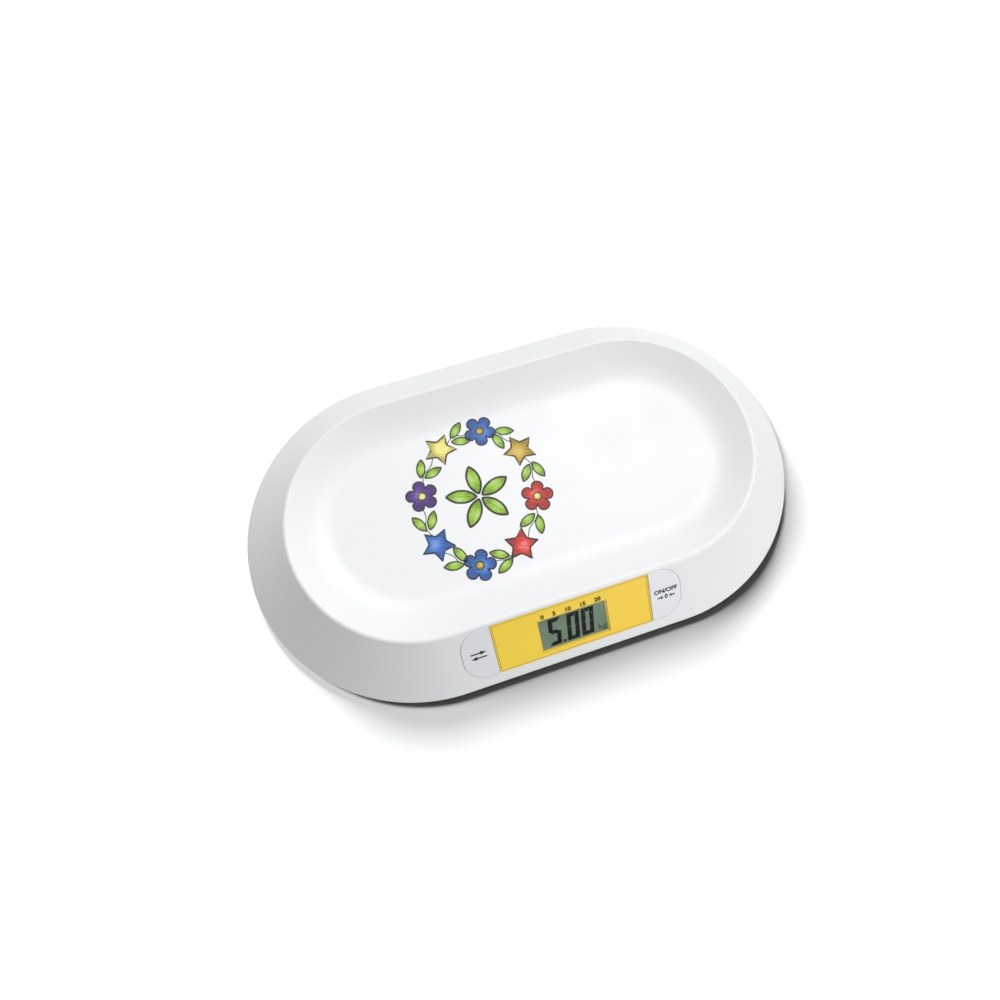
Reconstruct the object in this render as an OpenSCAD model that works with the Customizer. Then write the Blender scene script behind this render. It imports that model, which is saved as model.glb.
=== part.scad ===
// Digital baby weighing scale: a dished tray with a sloping skirt in one moulding, a base pan under
// it, a slanted display panel with two keys at the front, and a weighing foot under each corner.
// X runs along the length, Y from front to back, Z up. The origin is on the floor, under the centre.

/* [Body] */
// Length over the foot of the skirt
body_l = 550; // [500:5:620]
// Width over the foot of the skirt
body_w = 330; // [300:5:350]
// Height of the rim's crest above the floor
body_h = 60; // [56:1:70]
// Wall thickness of the tray and skirt
wall = 3; // [2.4:0.1:3.6]
// Height of the skirt's bottom edge above the floor
skirt_clear = 5; // [4:0.5:6]
// Height of the upright lip at the foot of the skirt
skirt_lip = 3; // [2:0.5:5]
// Horizontal run of the skirt, from its foot to the rim's crest
skirt_run = 48; // [44:1:54]
// Radius on the inside of the rim's crest
rim_inner_r = 1; // [0.6:0.1:2]
// Radius on the bottom edge of the skirt
lip_edge_r = 1; // [0.4:0.1:1.5]

/* [Tray] */
// Depth of the tray's floor below the crest
dish_depth = 14; // [11:1:17]
// Angle of the tray's side
dish_angle = 26; // [22:1:30]
// Radius of the blend from the tray's side to its floor
dish_blend_r = 60; // [45:5:75]
// Depth of the ribs under the tray
tray_rib_h = 5; // [3:0.5:8]
// Thickness of the ribs, under the tray and on the base
rib_t = 2; // [1.5:0.1:2.5]
// How far the ribs under the tray reach past the straight part of the plan
tray_rib_past = 20; // [0:1:30]
// Half width of the ribbed area under the tray
tray_rib_y = 60; // [56:1:66]
// Distance between the cross ribs under the tray
tray_rib_pitch = 50; // [40:5:60]

/* [Front panel] */
// Length of the panel's recess in the skirt
panel_l = 214; // [200:1:220]
// Height of the recess, measured up the slope
panel_h = 56; // [50:1:57]
// Corner radius of the recess
panel_corner_r = 22; // [15:1:24]
// Distance up the slope from the lip to the middle of the panel
panel_up = 38.5; // [37:0.5:39]
// Thickness of the pad behind the panel
panel_pad_t = 3; // [2.5:0.1:4]
// How far the pad reaches past the recess
panel_pad_rim = 3; // [2:0.5:4]
// Clearance round the pieces in the recess
panel_fit = 0.3; // [0.2:0.05:0.5]

/* [Display] */
// Length of the coloured bezel between the keys
bezel_l = 152; // [140:1:156]
// Thickness of the bezel
bezel_t = 2; // [1.8:0.1:2.4]
// Length of the visible display
view_l = 65; // [60:1:70]
// Height of the visible display
view_h = 35; // [30:0.5:36]
// How far the display sits below the middle of the panel
view_drop = 3.4; // [2.5:0.1:4]
// Margin of the clear window round the visible display
window_rim = 1.5; // [1:0.1:2]
// Thickness of the clear window
window_t = 1.2; // [0.8:0.1:1.4]
// Clearance round the clear window
window_fit = 0.05; // [0.02:0.01:0.15]
// Margin of the display glass round its visible part
glass_rim = 1.5; // [1:0.1:2]
// Thickness of the display glass
glass_t = 2.4; // [2:0.1:2.8]
// Length of the display holder
holder_l = 96; // [90:1:110]
// Height of the display holder
holder_h = 48; // [46:0.5:50]
// Thickness of the display holder
holder_t = 5; // [4.5:0.1:6]
// Width of the ledge that carries the glass
holder_ledge = 3; // [2:0.1:4]
// Thickness of the rubber strips between glass and board
strip_t = 2; // [1.5:0.1:2.2]

/* [Circuit board] */
// Length of the board
board_l = 204; // [200:1:210]
// Height of the board
board_h = 44; // [42:1:46]
// Thickness of the board
board_t = 1.6; // [1:0.1:2]
// Side of a key switch
switch_a = 6.2; // [6:0.1:8]
// Height of a key switch
switch_h = 3.5; // [3:0.1:3.8]
// Radius of a switch's plunger
plunger_r = 1.75; // [1.5:0.05:2]
// How far a plunger stands above its switch
plunger_rise = 1; // [0.9:0.05:1.4]
// Running clearance round a plunger
plunger_fit = 0.06; // [0.04:0.01:0.1]
// Distance of the board's screws from the edges of the display holder
board_screw_edge = 5; // [3:0.5:5]
// Depth of the board's screw holes in the pad behind the panel
board_screw_grip = 3; // [2:0.1:3.4]
// Radius of the sealed chip
chip_r = 7; // [5:0.5:9]
// Height of the sealed chip
chip_h = 1.2; // [0.8:0.1:2]
// Length of the socket for the load cells' wires
socket_l = 20; // [14:1:24]
// Width of the socket
socket_w = 6; // [5:0.5:7]
// Height of the socket
socket_h = 5; // [4:0.5:6]

/* [Keys] */
// Travel of a key
key_travel = 0.8; // [0.5:0.1:0.9]
// Thickness of a key's cap
key_t = 2; // [1.6:0.1:2.2]
// How far a key stands above the skirt
key_proud = 0.3; // [0.1:0.05:0.4]
// Depth of the recess under the keys
key_recess = 3.2; // [3:0.1:3.6]
// Radius of the stem that works the switch
stem_r = 2.5; // [2:0.1:3]
// Radius of the two guide pegs of a key
peg_r = 2; // [1.5:0.1:2.5]
// Distance of the guide pegs from the stem
peg_y = 14; // [11:0.5:15]
// Running clearance round the stem and the pegs
peg_fit = 0.2; // [0.12:0.02:0.3]

/* [Base pan] */
// Thickness of the base's plate
base_t = 2.5; // [2:0.1:3]
// How far the plate is set up inside the skirt's bottom edge
base_inset = 1; // [0.5:0.1:2]
// Clearance between the plate and the skirt
base_fit = 0.3; // [0.2:0.05:0.5]
// Height of the upright rim on the plate
base_rim_h = 6; // [4:0.5:8]
// Thickness of the upright rim
base_rim_t = 2; // [1.5:0.1:2.5]
// Height of the ribs on the plate
base_rib_h = 4; // [3:0.5:6]
// Distance of the long ribs from the middle
base_rib_y = 40; // [36:1:45]
// Distance of the cross ribs from the middle
base_rib_x = 95; // [85:1:105]

/* [Housing screws] */
// How far the outer screws lie past the straight part of the plan
screw_past = 38; // [30:1:42]
// Distance of the inner screws from the middle, along the length
screw_x_in = 52; // [50:1:60]
// Distance of the screws from the middle, across the width
screw_y = 52; // [48:1:54]
// Height of a screw tower above the plate
tower_h = 6; // [5:0.5:8]
// Radius of a screw tower, and of the post that stands on it
tower_r = 5; // [4.6:0.1:6]
// Radius of the screw's shank
screw_r = 1.5; // [1.2:0.1:1.7]
// Length of the shank
screw_l = 14; // [10:1:18]
// Radius of the screw's head
screw_head_r = 2.8; // [2.5:0.1:3]
// Height of the screw's head
screw_head_h = 2; // [1.6:0.1:2.4]
// Web that the head pulls on
tower_web = 2.5; // [2:0.1:3]
// Clearance between a screw and its hole
screw_fit = 0.05; // [0.03:0.01:0.1]

/* [Weighing feet] */
// Distance of the feet's middles from the ends of the skirt
foot_setback_l = 90; // [85:1:96]
// Distance of the feet's middles from the sides of the skirt
foot_setback_w = 80; // [77:1:85]
// Radius of a foot
foot_r = 17.5; // [16:0.1:18]
// Clearance between a foot and its hole in the base
foot_fit = 0.5; // [0.3:0.05:0.7]
// Height of a foot's shell above the floor
foot_shell_z = 2.5; // [1.5:0.1:3]
// Width of the flange that keeps a foot in the base
foot_flange = 1.6; // [1.2:0.1:1.8]
// Thickness of the flange
foot_flange_t = 1.5; // [1:0.1:2]
// Gap under the flange
foot_flange_gap = 0.3; // [0.2:0.05:0.5]
// Radius of the button that presses on the load cell
foot_button_r = 4; // [3:0.1:5]
// Radius of the rubber pad
pad_r = 15; // [13:0.1:15.5]
// How far the pad sits in the foot
pad_seat = 2; // [1:0.1:2.5]
// Radius on the pad's lower edge
pad_edge_r = 1.2; // [0.6:0.1:1.6]
// Groove width of the pad's tread
pad_groove = 1.4; // [1:0.1:2]

/* [Load cells] */
// Side of a load cell
cell_a = 40; // [39:0.5:44]
// Thickness of a load cell
cell_t = 2.5; // [2:0.1:3]
// Height of the load cell above the plate
cell_rise = 4; // [3.5:0.1:5]
// Distance of a cell's screws from its middle
cell_screw_d = 16; // [15.5:0.1:17]
// Width of the tongue
tongue_w = 14; // [10:0.5:16]
// Length of the tongue
tongue_l = 25; // [18:0.5:27]
// Width of the slot round the tongue
tongue_slot = 2.5; // [2:0.1:3]
// Height of the strain gauge's cover on the tongue
gauge_h = 1; // [0.6:0.1:1.5]
// Radius of a cell's post
cell_post_r = 2.6; // [2.4:0.1:2.8]
// Radius of a small screw's shank
small_screw_r = 1.2; // [1:0.1:1.4]
// Radius of a small screw's head
small_head_r = 2.3; // [2:0.1:2.6]
// Height of a small screw's head
small_head_h = 1.5; // [1:0.1:2]
// Length of a load cell's screws
cell_screw_l = 5; // [4:0.5:6]

/* [Battery compartment] */
// Middle of the compartment, across the width
bay_y = 45; // [42:1:55]
// Radius of a battery
bat_r = 7.25; // [7:0.05:7.4]
// Length of a battery's body
bat_body_l = 49.5; // [48:0.1:50]
// Radius of a battery's nub
bat_nub_r = 2.75; // [2.2:0.05:3]
// Length of a battery's nub
bat_nub_l = 1; // [0.8:0.1:1.5]
// Distance from one battery's axis to the next
bat_pitch = 15; // [14.9:0.1:16]
// Clearance above and below the batteries
bat_fit = 0.3; // [0.2:0.05:0.5]
// Wall of the compartment
bay_wall = 2; // [1.6:0.1:2.4]
// Width of the ledge that the door closes on
bay_ledge = 4; // [3.5:0.1:5]
// Thickness of a contact plate
plate_t = 0.4; // [0.3:0.05:0.6]
// Length of a contact spring
spring_l = 5.4; // [4.8:0.1:6]
// Radius of a contact spring at its foot
spring_foot_r = 5; // [4.5:0.1:5.5]
// Radius of a contact spring at its tip
spring_tip_r = 3.2; // [2.8:0.1:3.8]
// Radius of the spring's wire
spring_wire_r = 0.4; // [0.3:0.05:0.45]
// Turns of a contact spring
spring_turns = 3.5; // [2.5:0.5:3.5]

/* [Battery door] */
// Thickness of the door
door_t = 2; // [1.6:0.1:2.2]
// Clearance round the door
door_fit = 0.35; // [0.25:0.05:0.5]
// Radius of the door's knuckle
knuckle_r = 2; // [1.8:0.1:2.2]
// Radius of the hinge pins at the knuckle's ends
hinge_pin_r = 1.2; // [1:0.05:1.4]
// Length of a hinge pin
hinge_pin_l = 1.8; // [1.4:0.1:1.9]
// Running clearance of a hinge pin in its bore
hinge_fit = 0.06; // [0.04:0.01:0.1]
// Width of the door's latch
latch_w = 14; // [10:1:20]
// Height of the latch's leg inside the base
latch_h = 4; // [3:0.5:5]
// Thickness of the latch's leg
latch_t = 1.2; // [0.8:0.1:1.6]
// Radius of the nib on the latch's leg
nib_r = 0.5; // [0.3:0.05:0.6]
// Radius of the scoop for the finger
scoop_r = 9; // [6:1:14]
// Depth of the scoop for the finger
scoop_depth = 0.9; // [0.5:0.1:1.2]

/* [Hidden] */

$fn = 64;
// Depth by which joined shapes run into each other
bite = 0.5;
// Amount by which a cut runs past the face that it opens
over = 1;

// Plan: two half rounds, joined by a straight part
straight = body_l - body_w;
out_r = body_w / 2;
screw_x_out = straight / 2 + screw_past;
tray_rib_x = straight / 2 + tray_rib_past;
foot_x = body_l / 2 - foot_setback_l;
foot_y = body_w / 2 - foot_setback_w;

// Skirt and rim, in a section through the wall: distance from the middle line, and height
rim_r = rim_inner_r + wall;
rim_c = [out_r - skirt_run, body_h - rim_r];
lip_z = skirt_clear + skirt_lip;
foot_to_rim = [skirt_run, rim_c[1] - lip_z];
foot_to_rim_l = norm(foot_to_rim);
slope_a = atan2(foot_to_rim[1], foot_to_rim[0]) + asin(rim_r / foot_to_rim_l);

// Tray: a straight side, tangent to the rim, and a blend that is tangent to the floor
tray_z = body_h - dish_depth;
side_l = (dish_depth - (rim_r + dish_blend_r) * (1 - cos(dish_angle))) / sin(dish_angle);
blend_c = [
    rim_c[0] - (rim_r + dish_blend_r) * sin(dish_angle) - side_l * cos(dish_angle),
    tray_z + dish_blend_r
];
tray_under = tray_z - wall;

// Panel: its own frame has Y up the slope and Z out of the skirt, with the skirt's face at 0
panel_mid = [out_r - panel_up * cos(slope_a), lip_z + panel_up * sin(slope_a)];
panel_back = -(wall + panel_pad_t);
glass_l = view_l + 2 * glass_rim;
glass_h = view_h + 2 * glass_rim;
glass_back = -(bezel_t + glass_t);
board_face = panel_back - holder_t;
key_l = (panel_l - bezel_l) / 2;
key_x = (panel_l + bezel_l) / 4;
switch_top = board_face + switch_h;
stem_end = switch_top + plunger_rise;
plunger_depth = key_travel + 1;
board_screws_at = [for (x = [-1, 1], y = [-1, 1])
    [x * (holder_l / 2 - board_screw_edge), y * (holder_h / 2 - board_screw_edge)]];

// Base
base_z = skirt_clear + base_inset;
base_top = base_z + base_t;
base_rim_top = base_top + base_rim_h;
base_rim_r = slope_inner_r(base_rim_top) - base_fit;
tower_top = base_top + tower_h;
head_seat = tower_top - tower_web;
screws = [for (x = [-screw_x_out, -screw_x_in, screw_x_in, screw_x_out], y = [-screw_y, screw_y]) [x, y]];
corners = [for (x = [-foot_x, foot_x], y = [-foot_y, foot_y]) [x, y]];
cell_z = base_top + cell_rise;
cell_holes = [for (x = [-1, 1], y = [-1, 1]) cell_screw_d * [x, y]];

// Battery compartment, with the batteries side by side
bat_n = 4;
bat_l = bat_body_l + bat_nub_l;
bay_l = bat_l + spring_l + 2 * plate_t;
bay_w = bat_n * bat_pitch + 2 * bat_fit;
door_top = base_z + door_t;
ledge_z = door_top + bat_fit;
bat_z = ledge_z + bat_r;
bay_top = bat_z + bat_r + bat_fit;
mouth_l = bay_l + 2 * bay_ledge;
mouth_w = bay_w + 2 * bay_ledge;
door_l = mouth_l - 2 * door_fit;
hinge_y = bay_y - mouth_w / 2 + door_fit + knuckle_r;
hinge_z = base_z + knuckle_r;
door_edge_y = bay_y + mouth_w / 2 - door_fit;
latch_y = bay_y + bay_w / 2 + bay_ledge / 2;

// Inner face of the sloping skirt at a height
function slope_inner_r(z) = out_r - (z - lip_z) / tan(slope_a) - wall / sin(slope_a);

// Radius of the base at a height, clear of the upright lip and of the slope above it
function base_edge_r(z) = min(out_r - wall, slope_inner_r(z)) - base_fit;

// Points on an arc, from one angle to another
function arc(c, r, a0, a1, n) = [for (i = [0:n]) let (a = a0 + (a1 - a0) * i / n) c + r * [cos(a), sin(a)]];

function backwards(p) = [for (i = [len(p) - 1:-1:0]) p[i]];

// Line of the tray, rim and skirt, at a depth below the outer face; it ends at the lip
function section_line(depth) = concat(
    [[0, tray_z - depth]],
    arc(blend_c, dish_blend_r + depth, -90, -90 + dish_angle, 14),
    arc(rim_c, rim_r - depth, 90 + dish_angle, 90 - slope_a, 9),
    [[out_r - depth, lip_z - depth * (1 - sin(slope_a)) / cos(slope_a)]]
);

cover_section = concat(
    section_line(0),
    arc([out_r - lip_edge_r, skirt_clear + lip_edge_r], lip_edge_r, 0, -90, 4),
    [[out_r - wall, skirt_clear]],
    backwards(section_line(wall))
);

// Carries a section round the plan: a straight middle and two half-round ends
module round_the_plan(section) {
    rotate([90, 0, 90]) linear_extrude(straight, center = true) {
        polygon(section);
        mirror([1, 0]) polygon(section);
    }
    for (s = [-1, 1]) translate([s * straight / 2, 0, 0]) rotate([0, 0, -90 * s])
        rotate_extrude(angle = 180, $fn = 128) polygon(section);
}

module on_panel() translate([0, -panel_mid[0], panel_mid[1]]) rotate([slope_a, 0, 0]) children();

module on_display() on_panel() translate([0, -view_drop, 0]) children();

// A block whose lowest face is at z
module block(size, z) translate([-size[0] / 2, -size[1] / 2, z]) cube(size);

module rounded_plan(l, h, r) {
    square([l - 2 * r, h], center = true);
    square([l, h - 2 * r], center = true);
    for (x = [-1, 1], y = [-1, 1]) translate([x * (l / 2 - r), y * (h / 2 - r)]) circle(r);
}

// Outline of the recess, drawn in by an amount
module panel_plan(inset) rounded_plan(panel_l - 2 * inset, panel_h - 2 * inset, panel_corner_r - inset);

// The part of that outline that a key takes, on the side s
module key_plan(inset, s) intersection() {
    panel_plan(inset);
    translate([s * (bezel_l / 2 + inset + key_l / 2), 0]) square([key_l, panel_h], center = true);
}

module key_pegs(r, z, h) {
    for (y = [-peg_y, peg_y]) translate([0, y, z]) cylinder(r = r, h = h);
}

// --- Housing ---

module tray_ribs() {
    z = tray_under - tray_rib_h;
    h = tray_rib_h + bite;
    for (y = [-screw_y, 0, screw_y]) translate([0, y, 0]) block([2 * tray_rib_x, rib_t, h], z);
    n = floor(tray_rib_x / tray_rib_pitch);
    for (i = [-n:n]) translate([i * tray_rib_pitch, 0, 0]) block([rib_t, 2 * tray_rib_y, h], z);
}

module cover_posts() {
    for (p = screws) translate([p[0], p[1], tower_top])
        cylinder(r = tower_r, h = tray_under + bite - tower_top);
}

module panel_cuts() on_panel() {
    translate([0, 0, -bezel_t]) linear_extrude(bezel_t + over) panel_plan(0);
    for (s = [-1, 1]) {
        translate([0, 0, -key_recess]) linear_extrude(key_recess + over) key_plan(0, s);
        translate([s * key_x, 0, panel_back - over]) {
            cylinder(r = stem_r + peg_fit, h = -panel_back);
            key_pegs(peg_r + peg_fit, 0, -panel_back);
        }
    }
    translate([0, -view_drop, 0])
        block([glass_l + 2 * panel_fit, glass_h + 2 * panel_fit, 2 * over - panel_back], panel_back - over);
    for (p = board_screws_at) translate([p[0], p[1], panel_back - over])
        cylinder(r = small_screw_r + screw_fit, h = board_screw_grip + over);
}

module upper_cover() color("white") difference() {
    union() {
        round_the_plan(cover_section);
        on_panel() translate([0, 0, panel_back])
            linear_extrude(panel_pad_t + bite) panel_plan(-panel_pad_rim);
        tray_ribs();
        cover_posts();
    }
    panel_cuts();
    for (p = screws) translate([p[0], p[1], tower_top - over])
        cylinder(r = screw_r + screw_fit, h = screw_l - tower_web + 2 * over);
}

module base_ribs() {
    h = base_rib_h + bite;
    z = base_top - bite;
    for (y = [-base_rib_y, base_rib_y]) translate([0, y, 0]) block([2 * screw_x_out, rib_t, h], z);
    for (x = [-base_rib_x, base_rib_x]) translate([x, 0, 0]) block([rib_t, 2 * foot_y, h], z);
}

// Upright rim inside the skirt, with a gap for the pad behind the panel
module base_rim() difference() {
    round_the_plan([
        [base_rim_r - base_rim_t, base_top - bite], [base_rim_r, base_top - bite],
        [base_rim_r, base_rim_top], [base_rim_r - base_rim_t, base_rim_top]
    ]);
    translate([0, -out_r, 0])
        block([panel_l + 2 * (panel_pad_rim + base_fit), out_r, base_rim_h + over], base_top);
}

module base_pan() color("gainsboro") difference() {
    union() {
        round_the_plan([
            [0, base_z], [base_edge_r(base_z), base_z], [base_edge_r(base_top), base_top], [0, base_top]
        ]);
        base_rim();
        base_ribs();
        for (p = screws) translate([p[0], p[1], base_top - bite]) cylinder(r = tower_r, h = tower_h + bite);
        for (c = corners, p = cell_holes) translate([c[0] + p[0], c[1] + p[1], base_top - bite])
            cylinder(r = cell_post_r, h = cell_rise + bite);
        translate([0, bay_y, 0]) {
            block([mouth_l + 2 * bay_wall, mouth_w + 2 * bay_wall, ledge_z + bay_wall - base_z], base_z);
            block([bay_l + 2 * bay_wall, bay_w + 2 * bay_wall, bay_top + bay_wall - base_z], base_z);
        }
    }
    for (p = screws) translate([p[0], p[1], base_z - over]) {
        cylinder(r = screw_head_r + panel_fit, h = head_seat - base_z + over);
        cylinder(r = screw_r + screw_fit, h = tower_top - base_z + 2 * over);
    }
    for (c = corners) translate([c[0], c[1], 0]) {
        translate([0, 0, base_z - over]) cylinder(r = foot_r + foot_fit, h = base_t + 2 * over);
        for (p = cell_holes) translate([p[0], p[1], base_top])
            cylinder(r = small_screw_r + screw_fit, h = cell_rise + over);
    }
    translate([0, bay_y, 0]) {
        block([mouth_l, mouth_w, ledge_z - base_z + over], base_z - over);
        block([bay_l, bay_w, bay_top - base_z], base_z);
    }
    door_cuts();
}

// Room for the door's knuckle, its two pins and its latch
module door_cuts() {
    translate([0, hinge_y, hinge_z]) rotate([0, 90, 0]) {
        cylinder(r = knuckle_r + door_fit, h = mouth_l, center = true);
        cylinder(r = hinge_pin_r + hinge_fit, h = door_l + 2 * hinge_pin_l + 2 * door_fit, center = true);
    }
    translate([0, latch_y, 0])
        block(
            [latch_w + 2 * door_fit, latch_t + 2 * nib_r + 2 * door_fit, latch_h + door_fit + over],
            door_top - over
        );
}

module battery_door() color("gainsboro") {
    plate_w = door_edge_y - hinge_y;
    difference() {
        union() {
            translate([0, hinge_y + plate_w / 2, 0]) block([door_l, plate_w, door_t], base_z);
            translate([0, hinge_y, hinge_z]) rotate([0, 90, 0]) {
                cylinder(r = knuckle_r, h = door_l, center = true);
                cylinder(r = hinge_pin_r, h = door_l + 2 * hinge_pin_l, center = true);
            }
        }
        // Scoop for the finger, in the outer face
        translate([0, latch_y - latch_w / 2, base_z - scoop_r + scoop_depth]) rotate([0, 90, 0])
            cylinder(r = scoop_r, h = latch_w, center = true);
    }
    translate([0, latch_y, 0]) block([latch_w, latch_t, latch_h + bite], door_top - bite);
    translate([0, latch_y + latch_t / 2, door_top + latch_h - nib_r]) rotate([0, 90, 0])
        cylinder(r = nib_r, h = latch_w, center = true);
}

// --- Display and keys ---

module display_bezel() color("#f5c945") on_panel() difference() {
    translate([0, 0, -bezel_t]) block([bezel_l - 2 * panel_fit, panel_h - 2 * panel_fit, bezel_t], 0);
    translate([0, -view_drop, 0]) {
        block([view_l, view_h, bezel_t + 2 * over], -bezel_t - over);
        block([view_l + 2 * window_rim, view_h + 2 * window_rim, window_t + over], -window_t);
    }
}

module display_window() color("lightcyan", 0.4) on_display() {
    rim = window_rim - window_fit;
    block([view_l + 2 * rim, view_h + 2 * rim, window_t], -window_t);
}

module display_glass() color("#7f9382") on_display() block([glass_l, glass_h, glass_t], glass_back);

module display_holder() color("whitesmoke") difference() {
    union() {
        on_panel() block([holder_l, holder_h, holder_t], board_face);
        on_display() block([glass_l, glass_h, glass_back - panel_back + bite], panel_back - bite);
    }
    on_display() block(
        [glass_l - 2 * holder_ledge, glass_h - 2 * holder_ledge, glass_back - board_face + 2 * over],
        board_face - over
    );
    on_panel() for (p = board_screws_at) translate([p[0], p[1], board_face - over])
        cylinder(r = small_screw_r + screw_fit, h = holder_t + 2 * over);
}

module contact_strips() color("dimgray") on_display() for (s = [-1, 1])
    translate([0, s * (glass_h / 2 - holder_ledge - strip_t / 2 - screw_fit), 0])
        block([view_l - 2 * holder_ledge, strip_t, glass_back - board_face], board_face);

module circuit_board() color("seagreen") on_panel() difference() {
    union() {
        block([board_l, board_h, board_t], board_face - board_t);
        translate([0, 0, board_face - board_t - chip_h]) cylinder(r = chip_r, h = chip_h + bite);
        translate([chip_r + socket_l, 0, 0])
            block([socket_l, socket_w, socket_h + bite], board_face - board_t - socket_h);
    }
    for (p = board_screws_at) translate([p[0], p[1], board_face - board_t - over])
        cylinder(r = small_screw_r + screw_fit, h = board_t + 2 * over);
}

module board_screws() color("silver") on_panel() for (p = board_screws_at)
    translate([p[0], p[1], board_face - board_t]) {
        translate([0, 0, -small_head_h]) cylinder(r = small_head_r, h = small_head_h);
        cylinder(r = small_screw_r, h = board_t + holder_t + board_screw_grip - bite);
    }

module key(s) on_panel() {
    translate([0, 0, key_proud - key_t]) linear_extrude(key_t) key_plan(panel_fit, s);
    translate([s * key_x, 0, 0]) {
        translate([0, 0, stem_end]) cylinder(r = stem_r, h = key_proud - bite - stem_end);
        key_pegs(peg_r, stem_end, key_proud - bite - stem_end);
    }
}

module unit_key() color("lightgray") key(-1);
module power_key() color("lightgray") key(1);

module key_switch(s) color("dimgray") on_panel() translate([s * key_x, 0, 0]) difference() {
    block([switch_a, switch_a, switch_h], board_face);
    translate([0, 0, stem_end - plunger_rise - plunger_depth - key_travel])
        cylinder(r = plunger_r + plunger_fit, h = switch_h);
}

module plunger(s) color("black") on_panel()
    translate([s * key_x, 0, stem_end - plunger_rise - plunger_depth])
        cylinder(r = plunger_r, h = plunger_rise + plunger_depth);

// --- Screws, feet and load cells ---

module housing_screws() color("silver") for (p = screws) translate([p[0], p[1], head_seat]) difference() {
    union() {
        translate([0, 0, -screw_head_h]) cylinder(r = screw_head_r, h = screw_head_h);
        cylinder(r = screw_r, h = screw_l);
    }
    for (a = [0, 90]) rotate([0, 0, a])
        block([2 * screw_r, screw_r / 3, screw_head_h / 2 + over], -screw_head_h - over);
}

module cell_screws() color("silver") for (c = corners, p = cell_holes)
    translate([c[0] + p[0], c[1] + p[1], cell_z + cell_t]) {
        cylinder(r = small_head_r, h = small_head_h);
        translate([0, 0, -cell_screw_l]) cylinder(r = small_screw_r, h = cell_screw_l + bite);
    }

// Steel plate with a tongue in its middle, which the foot's button presses up
module load_cell(x, y) color("darkgray") translate([x * foot_x, y * foot_y, 0]) difference() {
    union() {
        block([cell_a, cell_a, cell_t], cell_z);
        translate([0, -tongue_l / 4, 0]) block([tongue_w / 2, tongue_l / 3, cell_t + gauge_h], cell_z);
    }
    difference() {
        block([tongue_w + 2 * tongue_slot, tongue_l, cell_t + 4 * over], cell_z - over);
        translate([0, -tongue_slot, 0]) block([tongue_w, tongue_l, cell_t + 4 * over], cell_z - over);
    }
    for (p = cell_holes) translate([p[0], p[1], cell_z - over])
        cylinder(r = small_screw_r + screw_fit, h = cell_t + 2 * over);
}

module foot(x, y) color("gray") translate([x * foot_x, y * foot_y, 0]) difference() {
    union() {
        translate([0, 0, foot_shell_z])
            cylinder(r = foot_r, h = base_top + foot_flange_gap + foot_flange_t - foot_shell_z);
        translate([0, 0, base_top + foot_flange_gap]) cylinder(r = foot_r + foot_flange, h = foot_flange_t);
        translate([0, 0, base_top]) cylinder(r = foot_button_r, h = cell_rise);
    }
    translate([0, 0, foot_shell_z - over]) cylinder(r = pad_r + screw_fit, h = pad_seat + over);
}

// Rubber pad with a rounded lower edge and two ring grooves as its tread
module pad(x, y) color("dimgray") translate([x * foot_x, y * foot_y, 0]) difference() {
    rotate_extrude() polygon(concat(
        [[0, 0]], arc([pad_r - pad_edge_r, pad_edge_r], pad_edge_r, -90, 0, 6),
        [[pad_r, foot_shell_z + pad_seat], [0, foot_shell_z + pad_seat]]
    ));
    for (r = [pad_r / 3, 2 * pad_r / 3]) rotate_extrude()
        translate([r - pad_groove / 2, -over]) square([pad_groove, over + pad_groove / 2]);
}

// --- Batteries ---

// The first battery lies nearest the front, and every other one points the other way
function bat_y(i) = bay_y + (i - (bat_n + 1) / 2) * bat_pitch;
function bat_dir(i) = i % 2 == 0 ? 1 : -1;

module along_battery(i) translate([0, bat_y(i), bat_z]) rotate([0, 90 * bat_dir(i), 0])
    translate([0, 0, -bay_l / 2]) children();

module battery(i) color("slategray") along_battery(i) translate([0, 0, plate_t + spring_l]) {
    cylinder(r = bat_r, h = bat_body_l);
    translate([0, 0, bat_body_l - bite]) cylinder(r = bat_nub_r, h = bat_nub_l + bite);
}

module contact_plates() color("silver") for (i = [1:bat_n]) along_battery(i) {
    block([2 * (bat_r - 2 * bat_fit), 2 * (bat_r - 2 * bat_fit), plate_t], 0);
    block([2 * (bat_r - 2 * bat_fit), 2 * (bat_r - 2 * bat_fit), plate_t], bay_l - plate_t);
}

// Point and radius of the conical spring at a share t of its length
function spring_r(t) = spring_foot_r + (spring_tip_r - spring_foot_r) * t;
function spring_point(t) = let (a = 360 * spring_turns * t)
    [spring_r(t) * cos(a), spring_r(t) * sin(a), spring_wire_r + t * (spring_l - 2 * spring_wire_r)];

// Tube of six sides along the spring's turns
module contact_spring() {
    sides = 6;
    rings = ceil(14 * spring_turns);
    points = [for (k = [0:rings], j = [0:sides - 1])
        let (a = 360 * spring_turns * k / rings, b = 360 * j / sides)
        spring_point(k / rings) + spring_wire_r * [cos(b) * cos(a), cos(b) * sin(a), sin(b)]];
    walls = [for (k = [0:rings - 1], j = [0:sides - 1])
        let (n = (j + 1) % sides, a = k * sides, b = (k + 1) * sides)
        each [[a + j, b + n, a + n], [a + j, b + j, b + n]]];
    ends = [
        for (j = [1:sides - 2]) [0, j, j + 1],
        for (j = [1:sides - 2]) [rings * sides, rings * sides + j + 1, rings * sides + j]
    ];
    polyhedron(points, concat(walls, ends));
}

module contact_springs() color("silver") for (i = [1:bat_n]) along_battery(i)
    translate([0, 0, plate_t]) contact_spring();

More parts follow.
